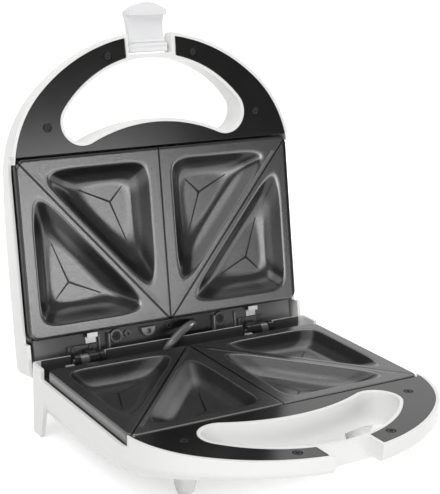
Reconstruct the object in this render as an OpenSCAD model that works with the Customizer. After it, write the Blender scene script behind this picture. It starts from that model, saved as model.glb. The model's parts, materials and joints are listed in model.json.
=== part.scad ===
// Sandwich toaster with a hinged lid, two-sandwich grill plates and an over-centre handle latch.
// Each half is drawn in plan space: X across, Y forward from the hinge axis, Z depth behind the plate faces.

/* [Lid and hinge] */
// Angle between the plates with the lid standing open
lid_open = 100; // [94:1:103]
// Height of the plate faces above the hinge axis
hinge_rise = 5.1; // [5:0.1:6.5]
// Distance of the hinge axis behind the origin
hinge_y = 84.4; // [60:0.1:110]
// Distance from the middle of the toaster to the middle of a hinge
hinge_x = 71; // [60:1:84]
// Radius of the hinge knuckles
knuckle_r = 4.4; // [3.6:0.1:4.6]
// Radius of the hinge pins
hinge_pin_r = 2; // [1.5:0.25:2.5]
// Width of a lid knuckle
knuckle_w = 14; // [10:1:18]
// Thickness of a base hinge ear
ear_t = 4; // [3:0.5:5]

/* [Grill plates] */
// Width of a grill plate
plate_w = 222; // [214:1:232]
// Length of a grill plate from its rear edge to its front edge
plate_l = 127.5; // [122:0.5:130]
// Distance from the hinge axis to the rear edge of a plate
plate_setback = 17.4; // [16.5:0.1:20]
// Thickness of the plate casting
plate_t = 2.5; // [2:0.1:3]
// Depth of the skirt round a plate
skirt_h = 9.7; // [8.8:0.1:10.5]
// Corner radius of a plate
plate_corner_r = 7; // [4:0.5:10]
// Width of the flat land between a pocket and the plate edge or the middle line
land_w = 9.5; // [8:0.5:12]
// Width of the land across the diagonal between two pockets
diagonal_w = 8.6; // [6:0.2:10]
// Depth of a pocket
pocket_d = 11; // [8:0.5:12]
// Width of the sloping pocket wall seen from above
pocket_slope = 10; // [8:0.5:12]
// Corner radius of a pocket at its right angle
pocket_corner_r = 11; // [8:0.5:12]
// Corner radius of a pocket at its two pointed ends
pocket_tip_r = 7.5; // [5:0.5:8]
// Width of the sealing grooves
groove_w = 1.2; // [0.8:0.1:1.6]
// Depth of the sealing grooves
groove_d = 0.8; // [0.4:0.1:1.2]

/* [Casings] */
// Distance from a plate's side edge to the outside of the casing
side_margin = 3; // [3:0.25:5]
// Distance from the front edge of the plates to the front of the handle
handle_l = 83.1; // [80:0.5:92]
// Depth of each casing behind the plate faces
case_depth = 40; // [38:0.5:46]
// Depth of each casing at the front of the handle
handle_depth = 12; // [11:0.5:15]
// Length over which a casing deepens from the handle to its full depth
handle_run = 158; // [148:1:166]
// Wall thickness of the casings
wall = 2.5; // [2:0.1:3]
// How much the radius across the front of the handle exceeds half the casing's width
nose_extra = 12.8; // [10:0.2:16]
// Distance from the middle to the centre of a shoulder curve
shoulder_x = 31; // [28:0.5:38]
// Radius of the casing's rear corners in plan
rear_corner_r = 6; // [4:0.5:9]
// Radius of the rounding between the casing's side and its back
bottom_r = 20; // [14:0.5:22]
// Radius of the rounding under the front of the handle
lip_r = 4; // [3.5:0.1:5]
// Depth by which the casing's side rims stay below the plate faces
side_slot_d = 8; // [6:0.25:8.5]
// How far the lid's rear wall lies behind the hinge axis
lid_back = 9; // [8:0.25:11]
// Height of the feet under the base casing
foot_h = 11; // [8:0.5:16]
// Gap between each face and the middle plane where the halves meet
face_gap = 0.3; // [0.2:0.05:0.5]

/* [Handle] */
// Width of the handle bar at its middle, from the finger opening to the front
handle_bar_w = 18.5; // [17:0.5:21]
// Distance from the plates' front edge to the centres of the opening's round ends
opening_room = 21.9; // [20:0.1:24]
// Radius of the finger opening's round ends
opening_end_r = 14; // [12:0.5:16]
// Distance from the casing's side to the centre of a round end
opening_side = 55.7; // [54:0.1:62]
// Radius of the finger opening's inward curve on the plate side
opening_back_r = 125.5; // [115:0.5:150]
// Width of the latch notch in the handle
notch_w = 35; // [34:0.5:37]
// White border between the notch and the black trim
notch_border = 2; // [1:0.25:3]
// Thickness of the black trim panels
trim_t = 2.5; // [2:0.1:3]

/* [Latch] */
// Width of the latch
latch_w = 31.4; // [26:0.2:32]
// Distance from the latch pin to the inside of the hook
latch_reach = 23; // [22:0.25:25]
// Thickness of the latch body
latch_t = 4; // [3:0.25:4.5]
// Thickness of the hook at the end of the latch
hook_t = 3.5; // [3:0.25:5]
// Depth of the latch pin behind the plate faces
latch_pin_d = 7.5; // [7:0.1:8]
// Radius of the latch pin
latch_pin_r = 1.5; // [1:0.25:1.75]

/* [Inside] */
// Thickness of the inner frames
frame_t = 2.4; // [2:0.1:3]
// Radius of the heating elements
element_r = 3.2; // [2.8:0.1:3.4]
// Radius of the sleeved cable between the base and the lid
link_r = 3; // [2.4:0.1:3.4]
// Radius of the cord inlet's bore
inlet_r = 3.6; // [3:0.1:4.5]

/* [Hidden] */

// Colours
white = "#f2f2f0";
black = "#2a2727";
nonstick = "#55565a";
frame_grey = "#6c6c6e";
steel = "#b9bbbd";

// Fits
running_gap = 0.05;
part_gap = 0.3;
hinge_side_gap = 0.5;
hook_gap = 0.4;
catch_gap = 0.5;
frame_gap = 0.5;
clamp_gap = 2.05;
block_gap = 3.8;
contact_gap = 0.15;
link_play = 0.6;

// Places that follow from the sizes
half_w = plate_w / 2 + side_margin;
plate_front = plate_setback + plate_l;
case_front = plate_front + handle_l;
hinge_z = case_depth + foot_h - hinge_rise;
relief_r = hinge_rise - face_gap;
base_back = (hinge_rise + face_gap) * sin(lid_open) + lid_back * cos(lid_open) - 2 * part_gap;
nose_r = half_w + nose_extra;
shoulder_r = half_w - shoulder_x;
nose_v = case_front - nose_r;
shoulder_v = nose_v + sqrt(pow(nose_r - shoulder_r, 2) - pow(shoulder_x, 2));
blend_a = atan2(shoulder_x, shoulder_v - nose_v);
opening_top = case_front - handle_bar_w;
opening_end_x = half_w - opening_side;
opening_end_v = plate_front + opening_room;
end_drop = opening_top - opening_end_v;
opening_front_r =
    (pow(opening_end_x, 2) + pow(end_drop, 2) - pow(opening_end_r, 2)) / (2 * (end_drop - opening_end_r));
opening_front_v = opening_top - opening_front_r;
end_rise = opening_front_r - end_drop;
back_rise = sqrt(pow(opening_back_r + opening_end_r, 2) - pow(opening_end_x, 2));
opening_back_v = opening_end_v - back_rise;
trim_back = plate_front + 1.3;
slot_back = plate_setback - 1.8;
slot_front = plate_front + 1.8;
notch_back = opening_top + wall + part_gap;

// Depths of the layers behind the plate faces
skirt_d = face_gap + skirt_h;
ledge_d = skirt_d + part_gap;
plate_under = face_gap + plate_t;
pocket_floor = face_gap + pocket_d;
pocket_under = pocket_floor + plate_t;
element_d = pocket_under + part_gap + element_r;
shield_d = element_d + element_r + part_gap;
shield_t = 0.5;
shield_in = 2;
pan_floor = shield_d + shield_t;
under_pan = pan_floor + frame_t;
lid_deck_d = 6;
base_deck_d = 13.4;
foot_d = case_depth + foot_h;

// Posts, screws and tabs
boss_r = 3.4;
tab_r = 5;
trim_front_x = 34.5;
trim_front_out = 2.1;
trim_side_in = 29.1;
trim_side_back = 1.9;
trim_screw_spots = [
    [trim_front_x, opening_top + trim_front_out],
    [half_w - trim_side_in, opening_end_v - trim_side_back]
];
trim_head_r = 2.6;
trim_head_t = 1.2;
trim_shank_r = 1.2;
trim_screw_l = 7;
frame_rear_x = 43.5;
frame_rear_v = 11.3;
frame_side_in = 21;
frame_side_out = 5.2;
frame_screw_spots = [
    [frame_rear_x, frame_rear_v],
    [half_w - frame_side_in, plate_front + frame_side_out]
];
frame_head_r = 3;
frame_head_t = 1.6;
frame_shank_r = 1.4;
frame_screw_l = 10;
plate_screw_in = 15;
plate_screw_spots = [plate_setback + plate_screw_in, plate_front - plate_screw_in];
plate_shank_r = 1.7;
plate_head_r = 3.6;
plate_boss_r = 4.5;
pocket_floor_fit = 0.6;

// Inner frame and pan
frame_x = half_w - wall - frame_gap;
deck_x = half_w - rear_corner_r - 1;
pan_x = plate_w / 2 - 11;
pan_rear = plate_setback + 4.6;
pan_front = plate_front - 7;
pan_r = 8;
upstand_t = 1.2;
upstand_top = 0.5;

// Heating element, its clamps and pins
plate_mid = plate_setback + plate_l / 2;
pin_r = 1.6;
pin_hole_r = 3;
pin_in = 4;
pin_rise = 3;
clamp_t = 1.2;
clamp_w = 8;
clamp_foot = 6;
clamp_reach = element_r + part_gap + clamp_t + clamp_foot;
bend_r = plate_l / 2 - plate_screw_in - plate_boss_r - clamp_reach - clamp_gap;
element_side_gap = 5.3;
bend_x = bend_r + element_r + element_side_gap - pan_x;
element_end = pan_x - 8;
pin_x = element_end - pin_in;

// Hinges
window_w = knuckle_w + 2 * (ear_t + hinge_side_gap) + 4;
window_d = 14;
arm_t = 6.4;
flange_t = 2;
base_flange_v = [-0.3, 13.6];
lid_flange_v = [-4, 9];
hinge_head_r = 2.3;
hinge_head_t = 1.2;
hinge_shank_r = 1.1;
hinge_screw_l = 9;
hinge_screw_x = 7;
base_screw_in = 3.4;
lid_screw_in = 2.6;
hinge_boss_r = 2.6;

// Spring tabs at the rear of the plates
base_clip_w = 6;
lid_clip_w = 8;
clip_t = 0.8;
clip_top = 1.2;
clip_foot = 5.4;
base_clip_left = 92;
base_clip_right = 53;
lid_clip_left = 63.5;
lid_clip_right = 71.5;

// Latch
latch_pin_v = opening_top + wall + 4.5;
latch_pin_l = notch_w + 2 * notch_border + 1.4;
latch_barrel_r = 3.1;
latch_d = latch_pin_d - 1.5;
latch_end = latch_pin_v + latch_reach + hook_t + 0.5;
dome_h = 6.2;
waist = 0.7;
catch_d = latch_reach - latch_pin_d - catch_gap;

// Legs and feet
leg_l = 22.8;
leg_t = 3;
leg_r = 5;
front_foot_x = 67;
front_foot_v = plate_front - 9.9;
front_foot_r = 5.4;
foot_taper = 0.24;

// Electrical parts
inlet_x = -30;
inlet_d = 27;
bush_r = 5.6;
bush_flange_t = 1.4;
bush_l = wall + 4;
thermostat_r = 8;
cap_r = 2.4;
fuse_r = 2.2;
block_x = 24;
block_v = 30;
block_pitch = 11;
block_l = 16;
block_h = case_depth - wall - under_pan - block_gap;
wire_r = 1.2;
wire_hole_r = 1.8;
lens_x = 9;
lens_v = 120;
lens_r = 3.6;
lamp_h = 4.4;

// Cable and wire routes; a wire ends on a pin, at the block, at the inlet or in the cable
base_link_spot = [-11, 4.5];
lid_link_spot = [20.3, 10.8];
link_route = [
    [base_link_spot[0], -base_link_spot[1], -15], [base_link_spot[0], -base_link_spot[1], -8],
    [-10.4, -5, -1], [-5.2, -5, 5], [4.6, -0.4, 9.4], [14.2, 5.2, 10.8],
    from_hinge(lid_link_spot, 3.6), from_hinge(lid_link_spot, 8), from_hinge(lid_link_spot, 13)
];
block_d = under_pan + block_h / 2;
block_rear = block_v - 0.5;
block_front = block_v + block_l + 0.5;
wire_d = under_pan + pin_rise + wire_r + contact_gap;
near_pin = [pin_x, plate_mid - bend_r, wire_d];
far_pin = [pin_x, plate_mid + bend_r, wire_d];
function block_x_at(k) = block_x + (k + 0.5) * block_pitch;
base_wires = [
    [
        [inlet_x, 6, inlet_d], [inlet_x + 4, 14, block_d], [6, 24, block_d + 1],
        [block_x_at(0), block_v - 6, block_d], [block_x_at(0), block_rear, block_d]
    ],
    [
        [base_link_spot[0], 5, 21.5], [base_link_spot[0] + 1, 10, 25], [18, 16, block_d - 1],
        [block_x_at(1), block_v - 6, block_d], [block_x_at(1), block_rear, block_d]
    ],
    [
        [block_x_at(2), block_front, block_d], [block_x_at(2) + 0.5, block_front + 5, block_d],
        [70, 54, wire_d], near_pin
    ],
    [[block_x_at(1), block_front, block_d], [42, 60, block_d], [66, 100, wire_d], far_pin]
];
lid_wires = [
    [
        [lid_link_spot[0] + 2.5, lid_link_spot[1], 15], [23.5, 12.5, 20], [29, 17, 27],
        [60, 36, wire_d], near_pin
    ],
    [[lid_link_spot[0], lid_link_spot[1], 15], [20.5, 14, 22], [24, 30, wire_d], [60, 90, wire_d], far_pin],
    [
        [lid_link_spot[0] - 2.5, lid_link_spot[1], 15], [16.5, 13, 21], [12, 20, wire_d],
        [lens_x, 70, wire_d + 1], [lens_x, lens_v - 5, under_pan + 2.7]
    ]
];

// Smooth rise from 0 to 1
function smooth(t) = let (c = min(max(t, 0), 1)) c * c * (3 - 2 * c);

// Depth of a casing at a distance v from the hinge axis, and its edge rounding there
function case_d(v) = handle_depth + (case_depth - handle_depth) * smooth((case_front - v) / handle_run);
function edge_r(v) = lip_r + (bottom_r - lip_r) * smooth((case_front - v) / handle_run);

// Place of a spot on the open lid at depth d, measured from the hinge axis
function from_hinge(spot, d) = let (s = d + hinge_rise) [
    spot[0], s * sin(lid_open) - spot[1] * cos(lid_open), spot[1] * sin(lid_open) + s * cos(lid_open)
];

// Point at angle a, clockwise from straight ahead, on a circle
function on_arc(x, v, r, a) = [x + r * sin(a), v + r * cos(a)];

// Steps along the nose, the shoulder, the side and the rear corner of the casing outline
nose_n = 8;
shoulder_n = 7;
side_n = 6;
corner_n = 4;
edge_n = nose_n + shoulder_n + side_n + corner_n;
edge_steps = 5;

// Point k of the right half of the casing outline, drawn in by e, with its rear wall at -back
function edge_pt(k, e, back) =
    let (
        r = max(rear_corner_r - e, 0.2),
        side_end = e - back + r,
        i = k - nose_n,
        j = i - shoulder_n,
        c = j - side_n
    )
    i <= 0 ? on_arc(0, nose_v, nose_r - e, blend_a * k / nose_n)
    : j <= 0 ? on_arc(shoulder_x, shoulder_v, shoulder_r - e, blend_a + (90 - blend_a) * i / shoulder_n)
    : c <= 0 ? [half_w - e, shoulder_v + (side_end - shoulder_v) * j / side_n]
    : on_arc(half_w - e - r, side_end, r, 90 + 90 * c / corner_n);

// Whole outline of a casing, drawn in by e
function case_outline(e, back) = concat(
    [for (k = [0 : edge_n]) edge_pt(k, e, back)],
    [for (k = [edge_n : -1 : 1]) [-edge_pt(k, e, back)[0], edge_pt(k, e, back)[1]]]
);

// Outline of the finger opening, grown by e
function opening_half(e) =
    let (a1 = atan2(opening_end_x, end_rise), a2 = atan2(opening_end_x, back_rise))
    concat(
        [for (i = [0 : 7]) on_arc(0, opening_front_v, opening_front_r + e, a1 * i / 7)],
        [for (i = [1 : 9]) let (a = a1 + (180 + a2 - a1) * i / 9)
            on_arc(opening_end_x, opening_end_v, opening_end_r + e, a)],
        [for (i = [1 : 5]) on_arc(0, opening_back_v, opening_back_r - e, a2 * (1 - i / 5))]
    );
function opening_outline(e) =
    let (right = opening_half(e), n = len(right))
    concat(right, [for (i = [n - 2 : -1 : 1]) [-right[i][0], right[i][1]]]);

// Point k of the right half of a casing's skin at angle a of its edge rounding
function skin_pt(k, a, skin, back) =
    let (
        r = max(edge_r(edge_pt(k, 0, back)[1]) - skin, 1.2),
        p = edge_pt(k, skin + r * (1 - cos(a)), back)
    ) [p[0], p[1], case_d(p[1]) - skin - r * (1 - sin(a))];
function mirror_ring(right) = concat(
    right,
    [for (k = [edge_n : -1 : 1]) [-right[k][0], right[k][1], right[k][2]]]
);

// Solid with the outer form of a casing, drawn in by skin all round and flat at depth top
module case_form(skin, top, back) {
    rings = concat(
        [mirror_ring([for (k = [0 : edge_n]) concat(edge_pt(k, skin, back), [top])])],
        [for (j = [0 : edge_steps]) let (a = 90 * j / edge_steps)
            mirror_ring([for (k = [0 : edge_n]) skin_pt(k, a, skin, back)])]
    );
    n = len(rings[0]);
    last = (len(rings) - 1) * n;
    walls = [for (j = [0 : len(rings) - 2], i = [0 : n - 1])
        let (a = j * n + i, b = j * n + (i + 1) % n) each [[a, b, b + n], [a, b + n, a + n]]];
    flat_faces = [for (k = [0 : edge_n - 1]) let (a = k, b = k + 1, c = n - k - 1, d = (n - k) % n)
        each concat(
            [[c, b, a], [last + a, last + b, last + c]],
            k == 0 ? [] : [[d, c, a], [last + a, last + c, last + d]]
        )];
    polyhedron([for (ring = rings) each ring], concat(walls, flat_faces));
}

// Places a drawing of a half on the base, or on the open lid
module on_base() {
    translate([0, hinge_y, hinge_z + hinge_rise]) rotate([180, 0, 0]) children();
}
module on_lid() {
    translate([0, hinge_y, hinge_z]) rotate([-lid_open, 0, 0])
        translate([0, 0, hinge_rise]) mirror([0, 1, 0]) children();
}

// Draws its children at x and at -x
module both_sides(x) {
    for (side = [-1, 1]) translate([side * x, 0, 0]) children();
}

// Rod along X, centred at the given place
module rod_x(r, length, v, d) {
    translate([-length / 2, v, d]) rotate([0, 90, 0]) cylinder(r = r, h = length, $fn = 48);
}

// Box between two corners
module box(low, high) {
    translate(low) cube(high - low);
}

// Rectangle with round corners between two corners
module round_plate(low, high, r, d0, d1) {
    translate([0, 0, d0]) linear_extrude(d1 - d0) {
        difference() {
            translate(low) square(high - low);
            for (x = [low[0], high[0]], y = [low[1], high[1]])
                translate([x, y]) square(2 * r, center = true);
        }
        for (x = [low[0] + r, high[0] - r], y = [low[1] + r, high[1] - r])
            translate([x, y]) circle(r = r, $fn = 40);
    }
}

// Countersunk screw whose head faces the plate side at depth d and whose shank runs deeper
module screw(x, v, d, head_r, head_t, shank_r, length) {
    slot = [head_r * 1.2, head_r * 0.3, head_t];
    translate([x, v, d]) difference() {
        union() {
            cylinder(r = head_r, h = head_t, $fn = 32);
            cylinder(r = shank_r, h = length, $fn = 24);
        }
        cube(slot, center = true);
        rotate([0, 0, 90]) cube(slot, center = true);
    }
}

// Solid post that carries a screw, from depth d down to the casing's back
module post(x, v, d, r) {
    translate([x, v, d]) cylinder(r = r, h = case_depth - d, $fn = 32);
}

// Hole for a screw's shank
module pilot(x, v, d, r, length) {
    translate([x, v, d - 1]) cylinder(r = r + running_gap, h = length + 1, $fn = 24);
}

// Everything inside a casing's hollow that stays solid
module casing_inside(deck_d) {
    translate([0, 0, -2]) linear_extrude(case_depth + 4) polygon(opening_outline(wall));
    translate([-notch_w / 2 - notch_border - 1, notch_back - wall, -2])
        cube([notch_w + 2 * notch_border + 2, handle_bar_w + wall, case_depth + 4]);
    for (s = trim_screw_spots) both_sides(s[0]) post(0, s[1], face_gap, boss_r);
    both_sides(frame_screw_spots[0][0]) post(0, frame_screw_spots[0][1], deck_d + frame_t, boss_r);
    both_sides(frame_screw_spots[1][0]) post(0, frame_screw_spots[1][1], ledge_d + frame_t, boss_r);
}

// Casing shell of one half, with its rear wall at -back and screw posts for a deck at deck_d
module casing_shell(back, deck_d) {
    difference() {
        case_form(0, face_gap, back);
        difference() {
            case_form(wall, -1, back);
            casing_inside(deck_d);
        }
        translate([0, 0, -1]) linear_extrude(case_depth + 2) polygon(opening_outline(0));
        translate([-notch_w / 2, notch_back, -1]) cube([notch_w, handle_bar_w, case_depth + 2]);
        translate([0, 0, -1]) linear_extrude(1 + face_gap + trim_t) trim_shape(0);
        both_sides(half_w) translate([-side_margin, slot_back, -1])
            cube([2 * side_margin, slot_front - slot_back, side_slot_d + 1]);
        for (s = trim_screw_spots) both_sides(s[0])
            pilot(0, s[1], face_gap + trim_t, trim_shank_r, trim_screw_l - 1);
        both_sides(frame_screw_spots[0][0])
            pilot(0, frame_screw_spots[0][1], deck_d + frame_t, frame_shank_r, frame_screw_l - 1);
        both_sides(frame_screw_spots[1][0])
            pilot(0, frame_screw_spots[1][1], ledge_d + frame_t, frame_shank_r, frame_screw_l - 1);
    }
}

// Flat region that the trim panel fills, drawn in by gap
module trim_shape(gap) {
    border = notch_w / 2 + notch_border + gap;
    difference() {
        polygon(case_outline(wall + gap, 0));
        polygon(opening_outline(wall + gap));
        translate([-border, opening_top]) square([2 * border, case_front]);
        translate([-2 * half_w, -case_front]) square([4 * half_w, case_front + trim_back - part_gap + gap]);
    }
}

// Black trim panel on the handle's inner face
module trim_panel() {
    seat_h = 1 + face_gap + trim_head_t + 2 * running_gap;
    difference() {
        translate([0, 0, face_gap]) linear_extrude(trim_t) trim_shape(part_gap);
        for (s = trim_screw_spots) both_sides(s[0]) translate([0, s[1], -1]) {
            cylinder(r = trim_head_r + 2 * running_gap, h = seat_h, $fn = 32);
            cylinder(r = trim_shank_r + 2 * running_gap, h = 6, $fn = 24);
        }
    }
}

module trim_screws() {
    for (s = trim_screw_spots) both_sides(s[0])
        screw(0, s[1], face_gap + 2 * running_gap, trim_head_r, trim_head_t, trim_shank_r, trim_screw_l);
}

// Rounded right-angled triangle with its right angle at the origin, drawn in by e
half_plate = plate_w / 2;
plate_diagonal = norm([half_plate, plate_l]);
pocket_x = half_plate - land_w * (1 + half_plate / plate_l) - diagonal_w / 2 * plate_diagonal / plate_l;
pocket_l = plate_l - land_w * (1 + plate_l / half_plate) - diagonal_w / 2 * plate_diagonal / half_plate;
pocket_in_r = (pocket_x + pocket_l - norm([pocket_x, pocket_l])) / 2;
long_side_a = atan2(pocket_x, pocket_l);
function pocket_corner(i, e, r) =
    let (
        middle = [pocket_in_r, pocket_in_r],
        corner = [[0, 0], [pocket_x, 0], [0, pocket_l]][i],
        centre = middle + (corner - middle) * (1 - (e + r) / pocket_in_r),
        start = [180, 270, 360 + long_side_a][i],
        end = [270, 360 + long_side_a, 540][i]
    ) [for (k = [0 : 5]) let (a = start + (end - start) * k / 5) centre + r * [cos(a), sin(a)]];
function pocket_ring(e, fit) = concat(
    pocket_corner(0, e, pocket_corner_r * fit),
    pocket_corner(1, e, pocket_tip_r * fit),
    pocket_corner(2, e, pocket_tip_r * fit)
);

// Tapered solid from the outline drawn in by e0 at depth d0 to the one drawn in by e1 at depth d1
module pocket_form(e0, d0, e1, d1) {
    low = [for (p = pocket_ring(e0, 1)) [p[0], p[1], d0]];
    high = [for (p = pocket_ring(e1, pocket_floor_fit)) [p[0], p[1], d1]];
    skin_between(low, high);
}

// Closed skin between two rings of points that run anticlockwise seen from the second
module skin_between(low, high) {
    n = len(low);
    sides = [for (i = [0 : n - 1]) let (j = (i + 1) % n) each [[i, n + i, n + j], [i, n + j, j]]];
    low_end = [for (i = [1 : n - 2]) [0, i, i + 1]];
    high_end = [for (i = [1 : n - 2]) [n, n + i + 1, n + i]];
    polyhedron(concat(low, high), concat(sides, low_end, high_end));
}

// Puts its children at the four pockets of a plate
module at_pockets() {
    pocket_pair() children();
    mirror([1, 0, 0]) pocket_pair() children();
}
module pocket_pair() {
    translate([land_w, plate_front - land_w, 0]) mirror([0, 1, 0]) children();
    translate([half_plate - land_w, plate_setback + land_w, 0]) mirror([1, 0, 0]) children();
}

// Distance by which the underside of a pocket's wall stands outside its upper face, seen from above
wall_shift = plate_t * norm([pocket_slope, pocket_d]) / pocket_d;

// Cast plate with four pockets, its skirt, sealing grooves and two bosses for its screws
module grill_plate() {
    slope = pocket_slope / pocket_d;
    difference() {
        union() {
            difference() {
                round_plate(
                    [-half_plate, plate_setback], [half_plate, plate_front], plate_corner_r, face_gap, skirt_d
                );
                round_plate(
                    [plate_t - half_plate, plate_setback + plate_t],
                    [half_plate - plate_t, plate_front - plate_t],
                    plate_corner_r - plate_t, plate_under, skirt_d + 1
                );
            }
            at_pockets() pocket_form(
                slope * plate_t / 2 - wall_shift, face_gap + plate_t / 2,
                slope * (pocket_d + plate_t) - wall_shift, pocket_under
            );
            for (v = plate_screw_spots) translate([0, v, plate_under - 1])
                cylinder(r = plate_boss_r, h = shield_d - part_gap - plate_under + 1, $fn = 40);
        }
        at_pockets() pocket_form(-slope, face_gap - 1, pocket_slope, pocket_floor);
        box([-groove_w / 2, 0, -1], [groove_w / 2, case_front, face_gap + groove_d]);
        diagonal_groove();
        mirror([1, 0, 0]) diagonal_groove();
        for (v = plate_screw_spots)
            translate([0, v, plate_under + 3])
                cylinder(r = plate_shank_r + running_gap, h = shield_d, $fn = 32);
    }
}
module diagonal_groove() {
    translate([0, plate_setback, 0]) rotate([0, 0, atan2(plate_l, half_plate)])
        box([0, -groove_w / 2, -1], [2 * plate_l, groove_w / 2, face_gap + groove_d]);
}

// Frame that carries a plate and its element: ledge, pan, riser and the deck beside the hinges
module inner_frame(deck_d, back) {
    deck_v = wall + part_gap - back;
    riser_v = plate_setback - part_gap - frame_t;
    difference() {
        union() {
            difference() {
                round_plate(
                    [-frame_x, riser_v], [frame_x, trim_back - part_gap],
                    plate_corner_r, ledge_d, ledge_d + frame_t
                );
                round_plate(
                    [-pan_x, pan_rear], [pan_x, pan_front], pan_r, ledge_d - 1, ledge_d + frame_t + 1
                );
            }
            difference() {
                round_plate(
                    [-pan_x - frame_t, pan_rear - frame_t], [pan_x + frame_t, pan_front + frame_t],
                    pan_r + frame_t, ledge_d, pan_floor + frame_t
                );
                round_plate([-pan_x, pan_rear], [pan_x, pan_front], pan_r, ledge_d - 1, pan_floor);
            }
            box(
                [-deck_x, riser_v, min(deck_d, ledge_d)],
                [deck_x, riser_v + frame_t, max(deck_d, ledge_d) + frame_t]
            );
            box([-deck_x, deck_v, deck_d], [deck_x, riser_v + frame_t, deck_d + frame_t]);
            both_sides(frame_screw_spots[1][0]) {
                translate([0, frame_screw_spots[1][1], ledge_d]) cylinder(r = tab_r, h = frame_t, $fn = 32);
                box([-tab_r, pan_front, ledge_d], [tab_r, frame_screw_spots[1][1], ledge_d + frame_t]);
            }
            for (s = hinge_screw_spots(deck_d)) both_sides(s[0])
                translate([0, s[1], deck_d]) cylinder(r = hinge_boss_r, h = hinge_screw_l - 1, $fn = 32);
        }
        for (s = frame_screw_spots) both_sides(s[0])
            translate([0, s[1], 0]) cylinder(r = frame_shank_r + running_gap, h = case_depth, $fn = 32);
        for (s = hinge_screw_spots(deck_d)) both_sides(s[0])
            translate([0, s[1], -1]) cylinder(r = hinge_shank_r + running_gap, h = case_depth, $fn = 32);
        for (v = plate_screw_spots)
            translate([0, v, pan_floor - 1])
                cylinder(r = plate_shank_r + running_gap, h = frame_t + 2, $fn = 32);
        element_pins(pin_hole_r, pan_floor - 1, pan_floor + frame_t + 1);
        link_hole(deck_d, link_r + link_play);
    }
}

// Where a hinge bracket is screwed to its deck
function hinge_screw_spots(deck_d) =
    let (v = deck_d == lid_deck_d ? lid_flange_v[1] - lid_screw_in : base_flange_v[1] - base_screw_in)
    [[hinge_x - hinge_screw_x, v], [hinge_x + hinge_screw_x, v]];

// Clearance hole in a deck for the link cable
module link_hole(deck_d, r) {
    spot = deck_d == lid_deck_d ? lid_link_spot : base_link_spot;
    translate([spot[0], spot[1], deck_d - 1]) cylinder(r = r, h = frame_t + 2, $fn = 40);
}

module frame_screws(deck_d) {
    seats = [deck_d, ledge_d];
    for (i = [0, 1]) both_sides(frame_screw_spots[i][0]) screw(
        0, frame_screw_spots[i][1], seats[i] - frame_head_t,
        frame_head_r, frame_head_t, frame_shank_r, frame_screw_l
    );
}

// Screws from under the pan into the plate's bosses
module plate_screws() {
    head_d = under_pan + frame_head_t;
    for (v = plate_screw_spots) translate([0, v, head_d]) mirror([0, 0, 1])
        screw(0, 0, 0, plate_head_r, frame_head_t, plate_shank_r, head_d - plate_under - 4);
}

// Tubular heating element bent into a U, with a pin at each end
module heating_element() {
    for (side = [-1, 1]) translate([bend_x, plate_mid + side * bend_r, element_d]) rotate([0, 90, 0])
        cylinder(r = element_r, h = element_end - bend_x, $fn = 40);
    translate([bend_x, plate_mid, element_d]) rotate([0, 0, 90]) rotate_extrude(angle = 180, $fn = 64)
        translate([bend_r, 0]) circle(r = element_r, $fn = 40);
    element_pins(pin_r, element_d, under_pan + pin_rise);
}
module element_pins(r, d0, d1) {
    for (side = [-1, 1]) translate([pin_x, plate_mid + side * bend_r, d0])
        cylinder(r = r, h = d1 - d0, $fn = 24);
}

// Straps that hold the element's legs down on the shield
module element_clamps() {
    outer = element_r + part_gap + clamp_t;
    drop = shield_d - element_d;
    for (side = [-1, 1]) translate([-clamp_w / 2, plate_mid + side * bend_r, element_d]) rotate([90, 0, 90])
        linear_extrude(clamp_w) difference() {
            union() {
                circle(r = outer, $fn = 48);
                translate([-outer, 0]) square([2 * outer, drop]);
                translate([-outer - clamp_foot, drop - clamp_t]) square([2 * (outer + clamp_foot), clamp_t]);
            }
            circle(r = outer - clamp_t, $fn = 48);
            translate([clamp_t - outer, 0]) square([2 * (outer - clamp_t), 2 * outer]);
            translate([-outer, drop]) square([2 * outer, outer]);
        }
}

// Thin bright sheet between the element and the pan
module heat_shield() {
    difference() {
        round_plate(
            [shield_in - pan_x, pan_rear + shield_in], [pan_x - shield_in, pan_front - shield_in],
            pan_r - shield_in, shield_d, shield_d + shield_t
        );
        for (v = plate_screw_spots) translate([0, v, shield_d - 1])
            cylinder(r = plate_shank_r + 0.5, h = shield_t + 2, $fn = 32);
        element_pins(pin_hole_r, shield_d - 1, shield_d + shield_t + 1);
    }
}

// Spring tab that bears on the rear edge of a plate, standing on a deck at deck_d
module plate_clip(x, w, deck_d) {
    riser_v = plate_setback - part_gap - frame_t;
    translate([x - w / 2, 0, 0]) {
        box([0, riser_v - clip_foot, deck_d - clip_t], [w, riser_v, deck_d]);
        box([0, riser_v - clip_t, clip_top], [w, riser_v, deck_d]);
        box([0, riser_v - clip_t, clip_top], [w, plate_setback - part_gap, clip_top + clip_t]);
    }
}

module base_casing() {
    color(white) on_base() {
        difference() {
            casing_shell(base_back, base_deck_d);
            hinge_relief();
            both_sides(hinge_x) box([-window_w / 2, -base_back - 1, -1], [window_w / 2, 1, window_d]);
            translate([inlet_x, -base_back - 1, inlet_d]) rotate([-90, 0, 0])
                cylinder(r = bush_r + part_gap, h = wall + 5.5, $fn = 40);
        }
        catch_wall();
        rear_legs();
        both_sides(front_foot_x) translate([0, front_foot_v, case_d(front_foot_v) - wall]) cylinder(
            r1 = front_foot_r + foot_taper * (foot_d - case_d(front_foot_v) + wall), r2 = front_foot_r,
            h = foot_d - case_d(front_foot_v) + wall, $fn = 48
        );
    }
}

// Room for the lid's rear edge to swing past the base's rear edge
module hinge_relief() {
    translate([-half_w - 1, 0, 0]) rotate([90, 0, 90]) linear_extrude(2 * half_w + 2) polygon(concat(
        [[0, -1]],
        [for (k = [0 : 6]) [-relief_r * sin(15 * k), hinge_rise - relief_r * cos(15 * k)]],
        [[-base_back - 5, hinge_rise], [-base_back - 5, -1]]
    ));
}

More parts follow.
